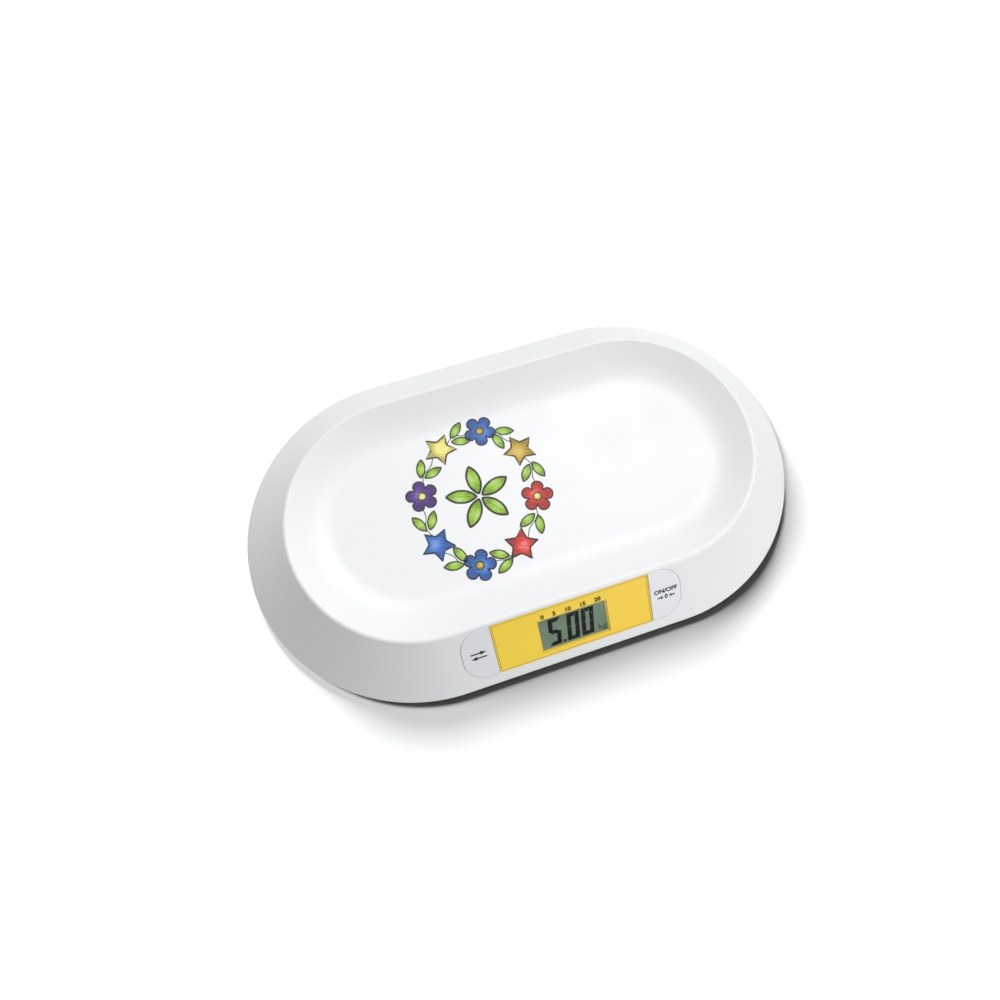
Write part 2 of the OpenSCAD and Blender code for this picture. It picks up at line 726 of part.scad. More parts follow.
upper_cover();
base_pan();
battery_door();
display_bezel();
display_window();
display_glass();
display_holder();
contact_strips();
circuit_board();
unit_key();
power_key();
plunger(-1);  // unit_plunger
plunger(1);  // power_plunger
key_switch(-1);  // unit_switch
key_switch(1);  // power_switch
board_screws();
housing_screws();
cell_screws();
load_cell(-1, -1);  // load_cell_front_left
load_cell(1, -1);  // load_cell_front_right
load_cell(-1, 1);  // load_cell_back_left
load_cell(1, 1);  // load_cell_back_right
foot(-1, -1);  // foot_front_left
foot(1, -1);  // foot_front_right
foot(-1, 1);  // foot_back_left
foot(1, 1);  // foot_back_right
pad(-1, -1);  // pad_front_left
pad(1, -1);  // pad_front_right
pad(-1, 1);  // pad_back_left
pad(1, 1);  // pad_back_right
battery(1);  // battery_1
battery(2);  // battery_2
battery(3);  // battery_3
battery(4);  // battery_4
contact_plates();
contact_springs();
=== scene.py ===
import math

import bmesh
import bpy
from bpy.props import FloatProperty, FloatVectorProperty, IntProperty, PointerProperty, StringProperty
from bpy.types import Operator, Panel, PropertyGroup
from mathutils import Matrix, Vector


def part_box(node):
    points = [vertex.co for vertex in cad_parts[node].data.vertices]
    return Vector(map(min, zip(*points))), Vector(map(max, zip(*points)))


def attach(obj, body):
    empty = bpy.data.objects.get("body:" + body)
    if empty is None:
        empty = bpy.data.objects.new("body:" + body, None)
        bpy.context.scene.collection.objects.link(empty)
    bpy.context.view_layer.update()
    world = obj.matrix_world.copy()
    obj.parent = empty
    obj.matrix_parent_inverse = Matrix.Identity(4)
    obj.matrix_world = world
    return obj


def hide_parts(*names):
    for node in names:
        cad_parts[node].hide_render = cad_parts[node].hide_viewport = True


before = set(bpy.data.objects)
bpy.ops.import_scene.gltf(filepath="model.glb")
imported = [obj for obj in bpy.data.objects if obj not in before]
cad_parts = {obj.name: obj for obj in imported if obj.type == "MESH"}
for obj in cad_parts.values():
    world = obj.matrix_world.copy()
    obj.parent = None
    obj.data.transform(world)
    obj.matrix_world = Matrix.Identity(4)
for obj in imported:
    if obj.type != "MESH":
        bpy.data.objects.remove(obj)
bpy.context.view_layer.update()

bl_info = {
    "name": "Baby Scale",
    "version": (1, 0, 0),
    "blender": (4, 5, 0),
    "location": "3D View > Sidebar > Baby Scale",
    "description": "Dresses the baby weighing scale: moulded tray, display panel, keys, print and studio",
    "category": "Object",
}

MM = 0.001
COVER_LOW, COVER_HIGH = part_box("upper_cover")


# --- Sizes and colours ---

def linear(code):
    """sRGB hex to linear RGB."""
    values = [int(code[i:i + 2], 16) / 255 for i in (0, 2, 4)]
    return tuple(v / 12.92 if v <= 0.04045 else ((v + 0.055) / 1.055) ** 2.4 for v in values)


def length(name, mm, description):
    return FloatProperty(name=name, description=description, default=mm * MM, unit="LENGTH", precision=5)


def angle(name, degrees, description):
    return FloatProperty(name=name, description=description, default=math.radians(degrees), subtype="ANGLE")


def colour(name, code, description):
    return FloatVectorProperty(
        name=name, description=description, default=linear(code), size=3, min=0, max=1, subtype="COLOR")


class BabyScaleBody(PropertyGroup):
    body_l: length("Length", round((COVER_HIGH.x - COVER_LOW.x) / MM), "Length over the foot of the skirt")
    body_w: length("Width", round((COVER_HIGH.y - COVER_LOW.y) / MM), "Width over the foot of the skirt")
    body_h: length("Height", round(COVER_HIGH.z / MM), "Height of the rim's crest above the floor")
    skirt_z: length("Skirt edge", round(COVER_LOW.z / MM), "Height of the skirt's bottom edge")
    wall: length("Wall", 3, "Thickness of the tray and skirt")
    skirt_lip: length("Lip", 3, "Height of the upright lip at the foot of the skirt")
    skirt_run: length("Skirt run", 48, "Horizontal run of the skirt, from its foot to the crest")
    rim_r: length("Rim radius", 4, "Outer radius of the rim's crest")
    lip_edge_r: length("Lip edge radius", 1, "Radius on the bottom edge of the skirt")
    dish_depth: length("Dish depth", 14, "Depth of the tray's floor below the crest")
    dish_angle: angle("Dish angle", 26, "Angle of the tray's side")
    dish_blend_r: length("Dish blend", 60, "Radius of the blend from the tray's side to its floor")
    spin_steps: IntProperty(
        name="Steps", description="Steps of each half-round end", default=64, min=16, max=128)


class BabyScalePanel(PropertyGroup):
    panel_l: length("Length", 214, "Length of the recess in the skirt")
    panel_h: length("Height", 56, "Height of the recess, up the slope")
    panel_corner_r: length("Corner radius", 22, "Corner radius of the recess")
    panel_up: length("Place", 38.5, "Distance up the slope from the lip to the middle of the panel")
    panel_fit: length("Clearance", 0.3, "Clearance round the pieces in the recess")
    bezel_l: length("Bezel length", 152, "Length of the coloured bezel")
    bezel_t: length("Bezel thickness", 2, "Thickness of the bezel")
    key_recess: length("Key well", 3.2, "Depth of the recess under the keys")
    key_t: length("Key thickness", 2, "Thickness of a key's cap")
    key_proud: length("Key height", 0.3, "How far a key stands above the skirt")
    stem_end: length("Stem end", -6.5, "Height of the lower end of a key's stem and pegs")
    peg_y: length("Peg distance", 14, "Distance of a key's guide pegs from its middle")
    view_l: length("Display length", 65, "Length of the visible display")
    view_h: length("Display height", 35, "Height of the visible display")
    view_drop: length("Display drop", 3.4, "How far the display sits below the middle of the panel")
    window_rim: length("Window margin", 1.5, "Margin of the clear window round the visible display")
    window_t: length("Window thickness", 1.2, "Thickness of the clear window")
    glass_t: length("Glass thickness", 2.4, "Thickness of the display glass")
    reading: StringProperty(name="Reading", description="Digits on the display", default="5.00")


class BabyScaleColours(PropertyGroup):
    shell: colour("Shell", "eceeef", "Glossy white of the tray and skirt")
    base: colour("Base", "e0e2e4", "White of the base pan")
    keys: colour("Keys", "e9eaee", "Pale white of the two keys")
    bezel: colour("Bezel", "ffd742", "Yellow of the display bezel")
    bezel_line: colour("Bezel line", "9a7a2c", "Printed line inside the bezel's edge")
    display: colour("Display", "788a79", "Reflective display behind the window")
    segments: colour("Segments", "060807", "Dark segments of the display")
    lettering: colour("Lettering", "2a2c30", "Printed lettering")


def settings():
    scene = bpy.context.scene
    return scene.baby_scale_body, scene.baby_scale_panel, scene.baby_scale_colours


# Sizes of small things that the panel's pieces share
GLASS_RIM = 1.5 * MM   # Margin of the display glass round the visible display
INK_T = 0.05 * MM      # Thickness of printed marks and of the display's segments
CORNER_STEPS = 14      # Steps of the recess's round corners

# Rods under a key: place up the slope in shares of the pegs' distance, and radius in millimetres
KEY_RODS = ((0, 2.5), (-1, 2.0), (1, 2.0))


# --- Modelling helpers ---

# The matrix that leaves a piece where it is
STAY = Matrix.Identity(4)


def shift(x, y, z=0.0):
    return Matrix.Translation((x, y, z))


def object_mode():
    if bpy.context.mode != "OBJECT":
        bpy.ops.object.mode_set(mode="OBJECT")


def deselect():
    object_mode()
    for obj in bpy.context.selected_objects:
        obj.select_set(False)


def activate(*objs):
    """Selects only these objects, the first one active."""
    deselect()
    for obj in objs:
        obj.select_set(True)
    bpy.context.view_layer.objects.active = objs[0]


def join(*objs):
    activate(*objs)
    bpy.ops.object.join()
    return bpy.context.object


def edit(obj):
    activate(obj)
    bpy.ops.object.mode_set(mode="EDIT")


def select_all():
    bpy.ops.mesh.select_all(action="SELECT")


def pick(test, kind="FACE"):
    """Selects in edit mode the vertices, edges or faces for which test is true."""
    bpy.ops.mesh.select_mode(type=kind)
    bpy.ops.mesh.select_all(action="DESELECT")
    obj = bpy.context.edit_object
    mesh = bmesh.from_edit_mesh(obj.data)
    mesh.normal_update()
    items = {"VERT": mesh.verts, "EDGE": mesh.edges, "FACE": mesh.faces}[kind]
    for item in [item for item in items if test(item)]:
        item.select_set(True)
    mesh.select_flush_mode()
    bmesh.update_edit_mesh(obj.data)


def upright(edge):
    return abs((edge.verts[0].co - edge.verts[1].co).normalized().z) > 0.9


def facing_up(face):
    return face.normal.z > 0.9


def extrude(x, y, z):
    bpy.ops.mesh.extrude_region_move(TRANSFORM_OT_translate={"value": (x, y, z)})


def place(obj, matrix):
    """Moves a piece by a matrix and puts its place into its mesh."""
    object_mode()
    bpy.context.view_layer.update()
    obj.matrix_world = matrix @ obj.matrix_world
    activate(obj)
    bpy.ops.object.transform_apply(location=True, rotation=True, scale=True)
    return obj


def block(name, size, low, matrix=STAY):
    """A block about the middle line, whose lowest face is at height low; it is modelled on from there."""
    deselect()
    bpy.ops.mesh.primitive_cube_add(size=1, location=(0, 0, low + size[2] / 2))
    obj = bpy.context.object
    obj.name = obj.data.name = name
    obj.scale = size
    return place(obj, matrix)


def rod(name, r, low, high, matrix, tip=0.0, sides=28):
    """A round bar between two heights; its lower end can be chamfered."""
    deselect()
    bpy.ops.mesh.primitive_cylinder_add(
        vertices=sides, radius=r, depth=high - low, location=(0, 0, (low + high) / 2))
    obj = bpy.context.object
    obj.name = obj.data.name = name
    if tip:
        edit(obj)
        pick(lambda e: all(v.co.z < 0 for v in e.verts), "EDGE")
        bpy.ops.mesh.bevel(offset=tip, segments=2)
    return place(obj, matrix)


def apply_modifier(obj, kind, **values):
    activate(obj)
    modifier = obj.modifiers.new(kind.title(), kind)
    for key, value in values.items():
        setattr(modifier, key, value)
    bpy.ops.object.modifier_apply(modifier=modifier.name)


def cut(obj, tool, operation="DIFFERENCE"):
    """Cuts a tool out of a piece and removes it."""
    apply_modifier(obj, "BOOLEAN", object=tool, operation=operation, solver="EXACT")
    bpy.data.objects.remove(tool)


def fuse(obj, tool):
    """Makes a tool one with a piece."""
    cut(obj, tool, "UNION")


def smooth(obj, degrees=35):
    activate(obj)
    bpy.ops.object.shade_smooth_by_angle(angle=math.radians(degrees))
    return obj


def weighted(obj):
    """Leaves large flat faces flat next to their rounded edges."""
    modifier = obj.modifiers.new("WeightedNormal", "WEIGHTED_NORMAL")
    modifier.keep_sharp = True
    modifier.weight = 50
    return obj


def finish_piece(obj, name, body, slot, *materials):
    """Names a finished piece, gives it its finish and lets it ride on its body."""
    obj.name = obj.data.name = name
    if materials:
        keep = [p.material_index for p in obj.data.polygons]
        obj.data.materials.clear()
        for material in materials:
            obj.data.materials.append(material)
        for polygon, index in zip(obj.data.polygons, keep):
            polygon.material_index = min(index, len(materials) - 1)
    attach(obj, body)
    return obj


# --- Where things are ---

def arc(centre, r, a0, a1, n):
    turns = [a0 + (a1 - a0) * i / n for i in range(n + 1)]
    return [(centre[0] + r * math.cos(a), centre[1] + r * math.sin(a)) for a in turns]


def slope_of(body):
    """Angle of the sloping skirt."""
    rise = body.body_h - body.rim_r - body.skirt_z - body.skirt_lip
    return math.atan2(rise, body.skirt_run) + math.asin(body.rim_r / math.hypot(rise, body.skirt_run))


def panel_matrix(body, panel):
    """Frame of the panel: X along, Y up the slope, Z out of the skirt, with the skirt's face at 0."""
    a = slope_of(body)
    y = body.body_w / 2 - panel.panel_up * math.cos(a)
    z = body.skirt_z + body.skirt_lip + panel.panel_up * math.sin(a)
    return shift(0, -y, z) @ Matrix.Rotation(a, 4, "X")


def key_x(panel):
    """Distance of a key's middle from the panel's."""
    return (panel.panel_l + panel.bezel_l) / 4


def view_size(panel, margin):
    """The visible display with a margin round it."""
    return panel.view_l + 2 * margin, panel.view_h + 2 * margin


def section_line(body, depth):
    """Tray, rim and skirt at a depth below the outer face: distances from the middle line, and heights."""
    a, d, out_r = slope_of(body), body.dish_angle, body.body_w / 2
    rim = (out_r - body.skirt_run, body.body_h - body.rim_r)
    tray_z = body.body_h - body.dish_depth
    r = body.rim_r + body.dish_blend_r
    side = (body.dish_depth - r * (1 - math.cos(d))) / math.sin(d)
    blend = (rim[0] - r * math.sin(d) - side * math.cos(d), tray_z + body.dish_blend_r)
    quarter = math.pi / 2
    foot_z = body.skirt_z + body.skirt_lip - depth * (1 - math.sin(a)) / math.cos(a)
    return ([(0, tray_z - depth)] + arc(blend, body.dish_blend_r + depth, -quarter, d - quarter, 18)
            + arc(rim, body.rim_r - depth, quarter + d, quarter - a, 14) + [(out_r - depth, foot_z)])


def cover_section(body):
    out_r, edge_r = body.body_w / 2, body.lip_edge_r
    return (section_line(body, 0)
            + arc((out_r - edge_r, body.skirt_z + edge_r), edge_r, 0, -math.pi / 2, 5)
            + [(out_r - body.wall, body.skirt_z)] + section_line(body, body.wall)[::-1])


# --- Materials ---

def add(tree, kind, inputs=(), **values):
    """Adds a node with its settings; an input gets a value, or a link from a socket or a node's result."""
    node = tree.nodes.new("ShaderNode" + kind)
    for key, value in values.items():
        setattr(node, key, value)
    for key, value in dict(inputs).items():
        if isinstance(value, bpy.types.Node):
            value = next(output for output in value.outputs if output.enabled)
        if isinstance(value, bpy.types.NodeSocket):
            tree.links.new(value, node.inputs[key])
        else:
            node.inputs[key].default_value = value
    return node


def new_material(name):
    """A material, its empty tree and the Object coordinates."""
    material = bpy.data.materials.new(name)
    material.use_nodes = True
    tree = material.node_tree
    tree.nodes.clear()
    return material, tree, add(tree, "TexCoord").outputs["Object"]


def give_shader(material, inputs, gone=None, air=(1, 1, 1, 1)):
    """Closes a material's tree with its Principled shader, which is air where the value gone is 1."""
    tree = material.node_tree
    shader = add(tree, "BsdfPrincipled", inputs)
    if gone is not None:
        clear = add(tree, "BsdfTransparent", {"Color": air})
        shader = add(tree, "MixShader", {0: gone, 1: shader, 2: clear})
    add(tree, "OutputMaterial", {"Surface": shader})
    return material


def per_metre(mm):
    """Scale of a pattern whose grain has this size in millimetres."""
    return 1 / (mm * MM)


def tint(tone, gain=1.0, lift=0.0):
    """A tone made darker or paler, with its alpha."""
    return (*(min(1, v * gain + lift) for v in tone), 1)


def vary(tree, coords, mm, low, high, detail=3.0):
    """A colour that drifts between two tones by a soft noise."""
    noise = add(tree, "TexNoise", {"Vector": coords, "Scale": per_metre(mm), "Detail": detail})
    return add(tree, "Mix", {0: noise, 6: low, 7: high}, data_type="RGBA")


def streaks(tree, coords, grain, detail, turn=0.0):
    """Noise that is longer one way: its grain in millimetres along each axis, turned by degrees about Z."""
    drawn = add(tree, "Mapping", {
        "Vector": coords, "Rotation": (0, 0, math.radians(turn)), "Scale": [per_metre(mm) for mm in grain]})
    return add(tree, "TexNoise", {"Vector": drawn, "Scale": 1.0, "Detail": detail})


def moulded_plastic(name, tone, rough, grain_mm, depth_mm, drift=0.03, specular=0.5):
    """ABS from a mould: even colour with a slight drift, and the tool's grain in bump and roughness."""
    material, tree, coords = new_material(name)
    grain = add(tree, "TexNoise", {"Vector": coords, "Scale": per_metre(grain_mm), "Detail": 2.0})
    cloud = add(tree, "TexNoise", {"Vector": coords, "Scale": per_metre(45.5), "Detail": 4.0})
    return give_shader(material, {
        "IOR": 1.53, "Specular IOR Level": specular,
        "Base Color": vary(tree, coords, 143, tint(tone, 1 - drift), tint(tone, 1 + drift)),
        "Roughness": add(tree, "MapRange", {
            "Value": cloud, "From Min": 0.3, "From Max": 0.7, "To Min": rough * 0.9, "To Max": rough * 1.15}),
        "Normal": add(tree, "Bump", {
            "Height": grain, "Strength": 0.25, "Distance": depth_mm * MM})})


def make_shell_white(colours):
    # ABS from a polished mould: clean white with broad soft reflections that waver very slightly
    return moulded_plastic("abs_white_polished", colours.shell, 0.36, 30, 0.05, 0.012, 0.35)


def make_key_white(colours):
    # Satin ABS of the keys: a fine even grain that breaks reflections up
    return moulded_plastic("abs_white_satin", colours.keys, 0.36, 0.5, 0.02, 0.01)


def make_base_white(colours):
    # ABS from a spark-eroded mould: a fine matte grain, about 0.6 mm here so that it shows
    return moulded_plastic("abs_white_spark_textured", colours.base, 0.52, 0.6, 0.05)


def make_ink(name, tone, rough=0.5):
    # Pad-printed ink, matte and slightly uneven in cover, so that it stays dark against the gloss round it;
    # the unevenness is drawn at about a millimetre, so that it shows
    material, tree, coords = new_material(name)
    cover = vary(tree, coords, 1.11, tint(tone, 0.85), tint(tone, 1.2, 0.004))
    return give_shader(material, {
        "Base Color": cover, "IOR": 1.5, "Roughness": rough, "Specular IOR Level": 0.06})


def make_bezel_yellow(colours):
    # Reverse-printed polycarbonate overlay: warm yellow under a smooth gloss, with painted light: its left
    # end is painted paler and brighter, as the light falls across the panel
    material, tree, coords = new_material("polycarbonate_printed_yellow")
    split = add(tree, "SeparateXYZ", {0: coords})
    # Painted light: this mask makes the yellow brighter and paler towards the left end
    along = add(tree, "MapRange", {
        "Value": split.outputs["X"], "From Min": -0.08, "From Max": 0.08})
    yellow = add(tree, "Mix", {
        0: along, 6: tint(colours.bezel, 1.06, 0.012), 7: tint(colours.bezel)}, data_type="RGBA")
    dots = add(tree, "TexNoise", {"Vector": coords, "Scale": per_metre(1.43), "Detail": 1.0})
    speck = add(tree, "MapRange", {"Value": dots, "To Min": 0.97, "To Max": 1.03})
    return give_shader(material, {
        "IOR": 1.58, "Specular IOR Level": 0.25,
        "Base Color": add(tree, "VectorMath", {0: yellow, "Scale": speck}, operation="SCALE"),
        "Roughness": add(tree, "MapRange", {"Value": dots, "To Min": 0.3, "To Max": 0.42})})


def make_display_glass(colours):
    # Reflective twisted-nematic display: grey-green polariser with a faint brushed reflector behind it
    material, tree, coords = new_material("lcd_polariser_grey_green")
    grain = streaks(tree, coords, (16.7, 1.11, 1.11), 2.0)
    return give_shader(material, {
        "IOR": 1.5, "Roughness": 0.4, "Specular IOR Level": 0.1,
        "Base Color": add(tree, "Mix", {
            0: grain, 6: tint(colours.display, 0.9), 7: tint(colours.display, 1.12)}, data_type="RGBA"),
        "Normal": add(tree, "Bump", {"Height": grain, "Strength": 0.1, "Distance": 0.02 * MM})})


def make_window_clear():
    # Clear acrylic under an anti-reflection coat, hence the low index: faint reflections, so that the
    # display behind it reads black on green. Lamps reach the display through it
    material, tree, coords = new_material("acrylic_clear_coated")
    haze = add(tree, "TexNoise", {"Vector": coords, "Scale": per_metre(16.7), "Detail": 3.0})
    path = add(tree, "LightPath")
    either = add(tree, "Math", {
        0: path.outputs["Is Shadow Ray"], 1: path.outputs["Is Diffuse Ray"]}, operation="MAXIMUM")
    return give_shader(material, {
        "IOR": 1.1, "Base Color": (0.97, 0.985, 0.975, 1), "Transmission Weight": 1.0,
        "Roughness": add(tree, "MapRange", {"Value": haze, "To Min": 0.01, "To Max": 0.04})},
        either, (0.96, 0.98, 0.97, 1))


def make_rubber(name, tone):
    # Moulded rubber: dark, matte, with a fine powdery bloom
    material, tree, coords = new_material(name)
    grain = add(tree, "TexNoise", {"Vector": coords, "Scale": per_metre(0.8), "Detail": 3.0})
    return give_shader(material, {
        "IOR": 1.52, "Roughness": 0.75,
        "Base Color": vary(tree, coords, 11.1, tint(tone, 0.8), tint(tone, 1.5, 0.01), 5.0),
        "Normal": add(tree, "Bump", {"Height": grain, "Strength": 0.4, "Distance": 0.05 * MM})})


def make_metal(name, tone, rough):
    # Plated steel sheet: fine drawn streaks and uneven brightness in the plating
    material, tree, coords = new_material(name)
    grain = streaks(tree, coords, (25, 1.11, 1.11), 3.0)
    plating = add(tree, "Mix", {0: grain, 6: tint(tone, 0.82), 7: tint(tone)}, data_type="RGBA")
    return give_shader(material, {
        "Base Color": plating, "Metallic": 1.0,
        "Roughness": add(tree, "MapRange", {
            "Value": grain, "To Min": rough * 0.7, "To Max": rough * 1.3})})


def make_board_green():
    # Solder mask over glass fibre: glossy green with paler tracks under it
    material, tree, coords = new_material("solder_mask_green")
    tracks = add(tree, "TexBrick", {
        "Vector": coords, "Scale": per_metre(16.7), "Color1": tint(linear("1d6b3c")),
        "Color2": tint(linear("1a6136")), "Mortar": tint(linear("2d8a52")), "Mortar Size": 0.03})
    return give_shader(material, {
        "Base Color": tracks, "IOR": 1.5, "Roughness": 0.3, "Coat Weight": 0.4, "Coat Roughness": 0.15})


def make_battery_sleeve():
    # Shrink sleeve: glossy grey-blue film with a bright band at one end, no print on it
    material, tree, coords = new_material("pvc_sleeve_slate")
    split = add(tree, "SeparateXYZ", {0: coords})
    band = add(tree, "Math", {0: split.outputs["X"], 1: 0.012}, operation="GREATER_THAN")
    film = add(tree, "Mix", {
        0: band, 6: tint(linear("3d4a5c")), 7: tint(linear("b9bec6"))}, data_type="RGBA")
    return give_shader(material, {
        "Base Color": film, "IOR": 1.54, "Roughness": 0.25, "Coat Weight": 0.5, "Coat Roughness": 0.1})


def make_crayon(name, tone):
    # Transfer print of a crayon drawing: waxy strokes, darker towards one side and pale where the light falls
    material, tree, coords = new_material("print_" + name)
    wax = streaks(tree, coords, (7.14, 1.11, 1000), 4.0, 62)
    shade = add(tree, "Attribute", attribute_name="shade").outputs["Fac"]
    both = add(tree, "Math", {0: shade, 1: wax}, operation="ADD")
    body = add(tree, "MapRange", {"Value": both, "From Min": 0.35, "From Max": 0.95})
    lift = add(tree, "MapRange", {"Value": both, "From Min": 1.0, "From Max": 1.5, "To Max": 0.7})
    base = add(tree, "Mix", {0: body, 6: tint(tone, 0.35), 7: tint(tone)}, data_type="RGBA")
    wash = add(tree, "Mix", {0: lift, 6: base, 7: tint(tone, 0.5, 0.45)}, data_type="RGBA")
    return give_shader(material, {
        "Base Color": wash, "IOR": 1.5, "Roughness": 0.45, "Specular IOR Level": 0.3})


def make_paper():
    # Matte pale paper with a faint fibre; its own lamps bring it to white, and its shadow stays dark
    material, tree, coords = new_material("paper_pale_matte")
    fibre = add(tree, "TexNoise", {"Vector": coords, "Scale": per_metre(2.5), "Detail": 2.0})
    paper = add(tree, "Mix", {
        0: fibre, 6: tint(linear("bcbdbd")), 7: tint(linear("bfc0c0"))}, data_type="RGBA")
    # It isn't there from below, nor for the light that it would throw back on the object: that light comes
    # from the world's lower half instead, so that the underside can be looked at
    path = add(tree, "LightPath")
    first = add(tree, "Math", {
        0: path.outputs["Diffuse Depth"], 1: 1.0, 2: 0.1}, operation="COMPARE")
    thrown = add(tree, "Math", {0: path.outputs["Is Diffuse Ray"], 1: first}, operation="MULTIPLY")
    below = add(tree, "NewGeometry").outputs["Backfacing"]
    absent = add(tree, "Math", {0: below, 1: thrown}, operation="MAXIMUM")
    return give_shader(material, {"Base Color": paper, "Roughness": 0.9, "Specular IOR Level": 0.0}, absent)


# --- Operators ---

class BABYSCALE_OT_tray_cover(Operator):
    """Tray, rim and skirt in one shell, with the panel's recess, the pad behind it, ribs and posts"""
    bl_idname = "baby_scale.tray_cover"
    bl_label = "Tray Cover"

    def execute(self, context):
        body, panel, colours = settings()
        cover = self.shell(body)
        matrix = panel_matrix(body, panel)
        self.recess(cover, body, panel, matrix)
        self.underside(cover, body)
        edit(cover)
        select_all()
        bpy.ops.mesh.remove_doubles(threshold=0.002 * MM)
        weighted(smooth(cover, 32))
        finish_piece(cover, "tray_cover", "housing", "housing_white", make_shell_white(colours))
        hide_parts("upper_cover")
        return {"FINISHED"}

    def shell(self, body):
        """Draws the section by extrusion, then carries it round the plan by spin and extrusion in turn."""
        deselect()
        bpy.ops.mesh.primitive_plane_add(size=MM)
        cover = bpy.context.object
        edit(cover)
        bpy.ops.mesh.select_mode(type="VERT")
        select_all()
        bpy.ops.mesh.merge(type="CENTER")
        half = (body.body_l - body.body_w) / 2
        line = [Vector((half, -r, z)) for r, z in cover_section(body)]
        bpy.ops.transform.translate(value=line[0])
        for last, point in zip(line, line[1:]):
            extrude(*(point - last))
        select_all()
        for end in (half, -half):
            bpy.ops.mesh.spin(steps=body.spin_steps, angle=-math.pi, center=(end, 0, 0), axis=(0, 0, 1))
            extrude(-2 * end, 0, 0)
        select_all()
        bpy.ops.mesh.remove_doubles(threshold=0.005 * MM)
        bpy.ops.mesh.normals_make_consistent(inside=False)
        object_mode()
        return cover

    def recess(self, cover, body, panel, matrix):
        """Cuts the recess, the keys' wells, the display's opening, and the holes for rods and screws."""
        pad_rim, pad_t, sink, over = 3 * MM, 3 * MM, 0.5 * MM, 1 * MM
        edge_r, well_fit, rod_fit = 0.5 * MM, 0.05 * MM, 0.2 * MM
        screw_x, screw_y, pilot_r = 43 * MM, 19 * MM, 1.25 * MM
        back = -(body.wall + pad_t)
        fuse(cover, pill("pad", panel, -pad_rim, back, pad_t + sink, matrix))
        cut(cover, flared_pill(panel, -panel.bezel_t, over, edge_r, matrix))
        for side in (-1, 1):
            cut(cover, key_blank("well", panel, well_fit, side, -panel.key_recess, panel.bezel_t, matrix))
        glass = view_size(panel, GLASS_RIM + panel.panel_fit)
        opening = (*glass, -back + 2 * over)
        cut(cover, block("opening", opening, back - over, matrix @ shift(0, -panel.view_drop)))
        for side in (-1, 1):
            for y, r in KEY_RODS:
                at = matrix @ shift(side * key_x(panel), y * panel.peg_y)
                cut(cover, rod("hole", r * MM + rod_fit, back - over, 0, at))
            for y in (-screw_y, screw_y):
                at = matrix @ shift(side * screw_x, y)
                cut(cover, rod("hole", pilot_r, back - over, back + pad_t, at, sides=16))

    def underside(self, cover, body):
        """The grid of ribs under the tray, and the posts that take the housing's screws."""
        under = body.body_h - body.dish_depth - body.wall
        half = (body.body_l - body.body_w) / 2
        reach, rib_y, rib_h, rib_t, pitch = half + 20 * MM, 60 * MM, 5 * MM, 2 * MM, 50 * MM
        post_near, post_far, post_y, post_r, post_z = 52 * MM, 148 * MM, 52 * MM, 5 * MM, 14.5 * MM
        pilot_r, pilot_low, pilot_high, sink = 1.55 * MM, 13 * MM, 26 * MM, 0.5 * MM
        ribs = [(2 * reach, rib_t, 0, y) for y in (-post_y, 0, post_y)]
        ribs += [(rib_t, 2 * rib_y, i * pitch, 0) for i in range(-2, 3)]
        for size_x, size_y, x, y in ribs:
            fuse(cover, block("rib", (size_x, size_y, rib_h + sink), under - rib_h, shift(x, y)))
        for x in (-post_far, -post_near, post_near, post_far):
            for y in (-post_y, post_y):
                fuse(cover, rod("post", post_r, post_z, under + sink, shift(x, y)))
                cut(cover, rod("pilot", pilot_r, pilot_low, pilot_high, shift(x, y), sides=16))


def pill(name, panel, inset, low, height, matrix=STAY):
    """A slab with the recess's outline, drawn in by an amount."""
    obj = block(name, (panel.panel_l - 2 * inset, panel.panel_h - 2 * inset, height), low)
    edit(obj)
    pick(upright, "EDGE")
    bpy.ops.mesh.bevel(offset=panel.panel_corner_r - inset, segments=CORNER_STEPS)
    return place(obj, matrix)


def flared_pill(panel, low, over, edge_r, matrix):
    """The recess's cutter, which widens at the skirt's face so that the edge it leaves is rounded."""
    obj = pill("recess", panel, 0, low, over - low)
    edit(obj)
    steps = [(-edge_r * (1 - math.sin(t)), edge_r * (1 - math.cos(t)))
             for t in (0, math.pi / 6, math.pi / 3, math.pi / 2)]
    for z, _ in steps:
        select_all()
        bpy.ops.mesh.bisect(plane_co=(0, 0, z), plane_no=(0, 0, 1))
    half_l, half_h = panel.panel_l / 2, panel.panel_h / 2
    for z, out in steps[1:]:
        last = z == steps[-1][0]
        pick(lambda v: abs(v.co.z - z) < 0.01 * MM or (last and v.co.z > z), "VERT")
        bpy.ops.transform.resize(value=((half_l + out) / half_l, (half_h + out) / half_h, 1),
                                 center_override=(0, 0, 0))
    return place(obj, matrix)


def key_blank(name, panel, inset, side, low, height, matrix=STAY):
    """A slab with the outline of a key, drawn in by an amount: round corners outside, square ones inside."""
    key_l = (panel.panel_l - panel.bezel_l) / 2
    x = side * key_x(panel)
    obj = block(name, (key_l - 2 * inset, panel.panel_h - 2 * inset, height), low, shift(x, 0))
    edit(obj)
    pick(lambda e: upright(e) and side * e.verts[0].co.x > abs(x), "EDGE")
    bpy.ops.mesh.bevel(offset=panel.panel_corner_r - inset, segments=CORNER_STEPS)
    return place(obj, matrix)


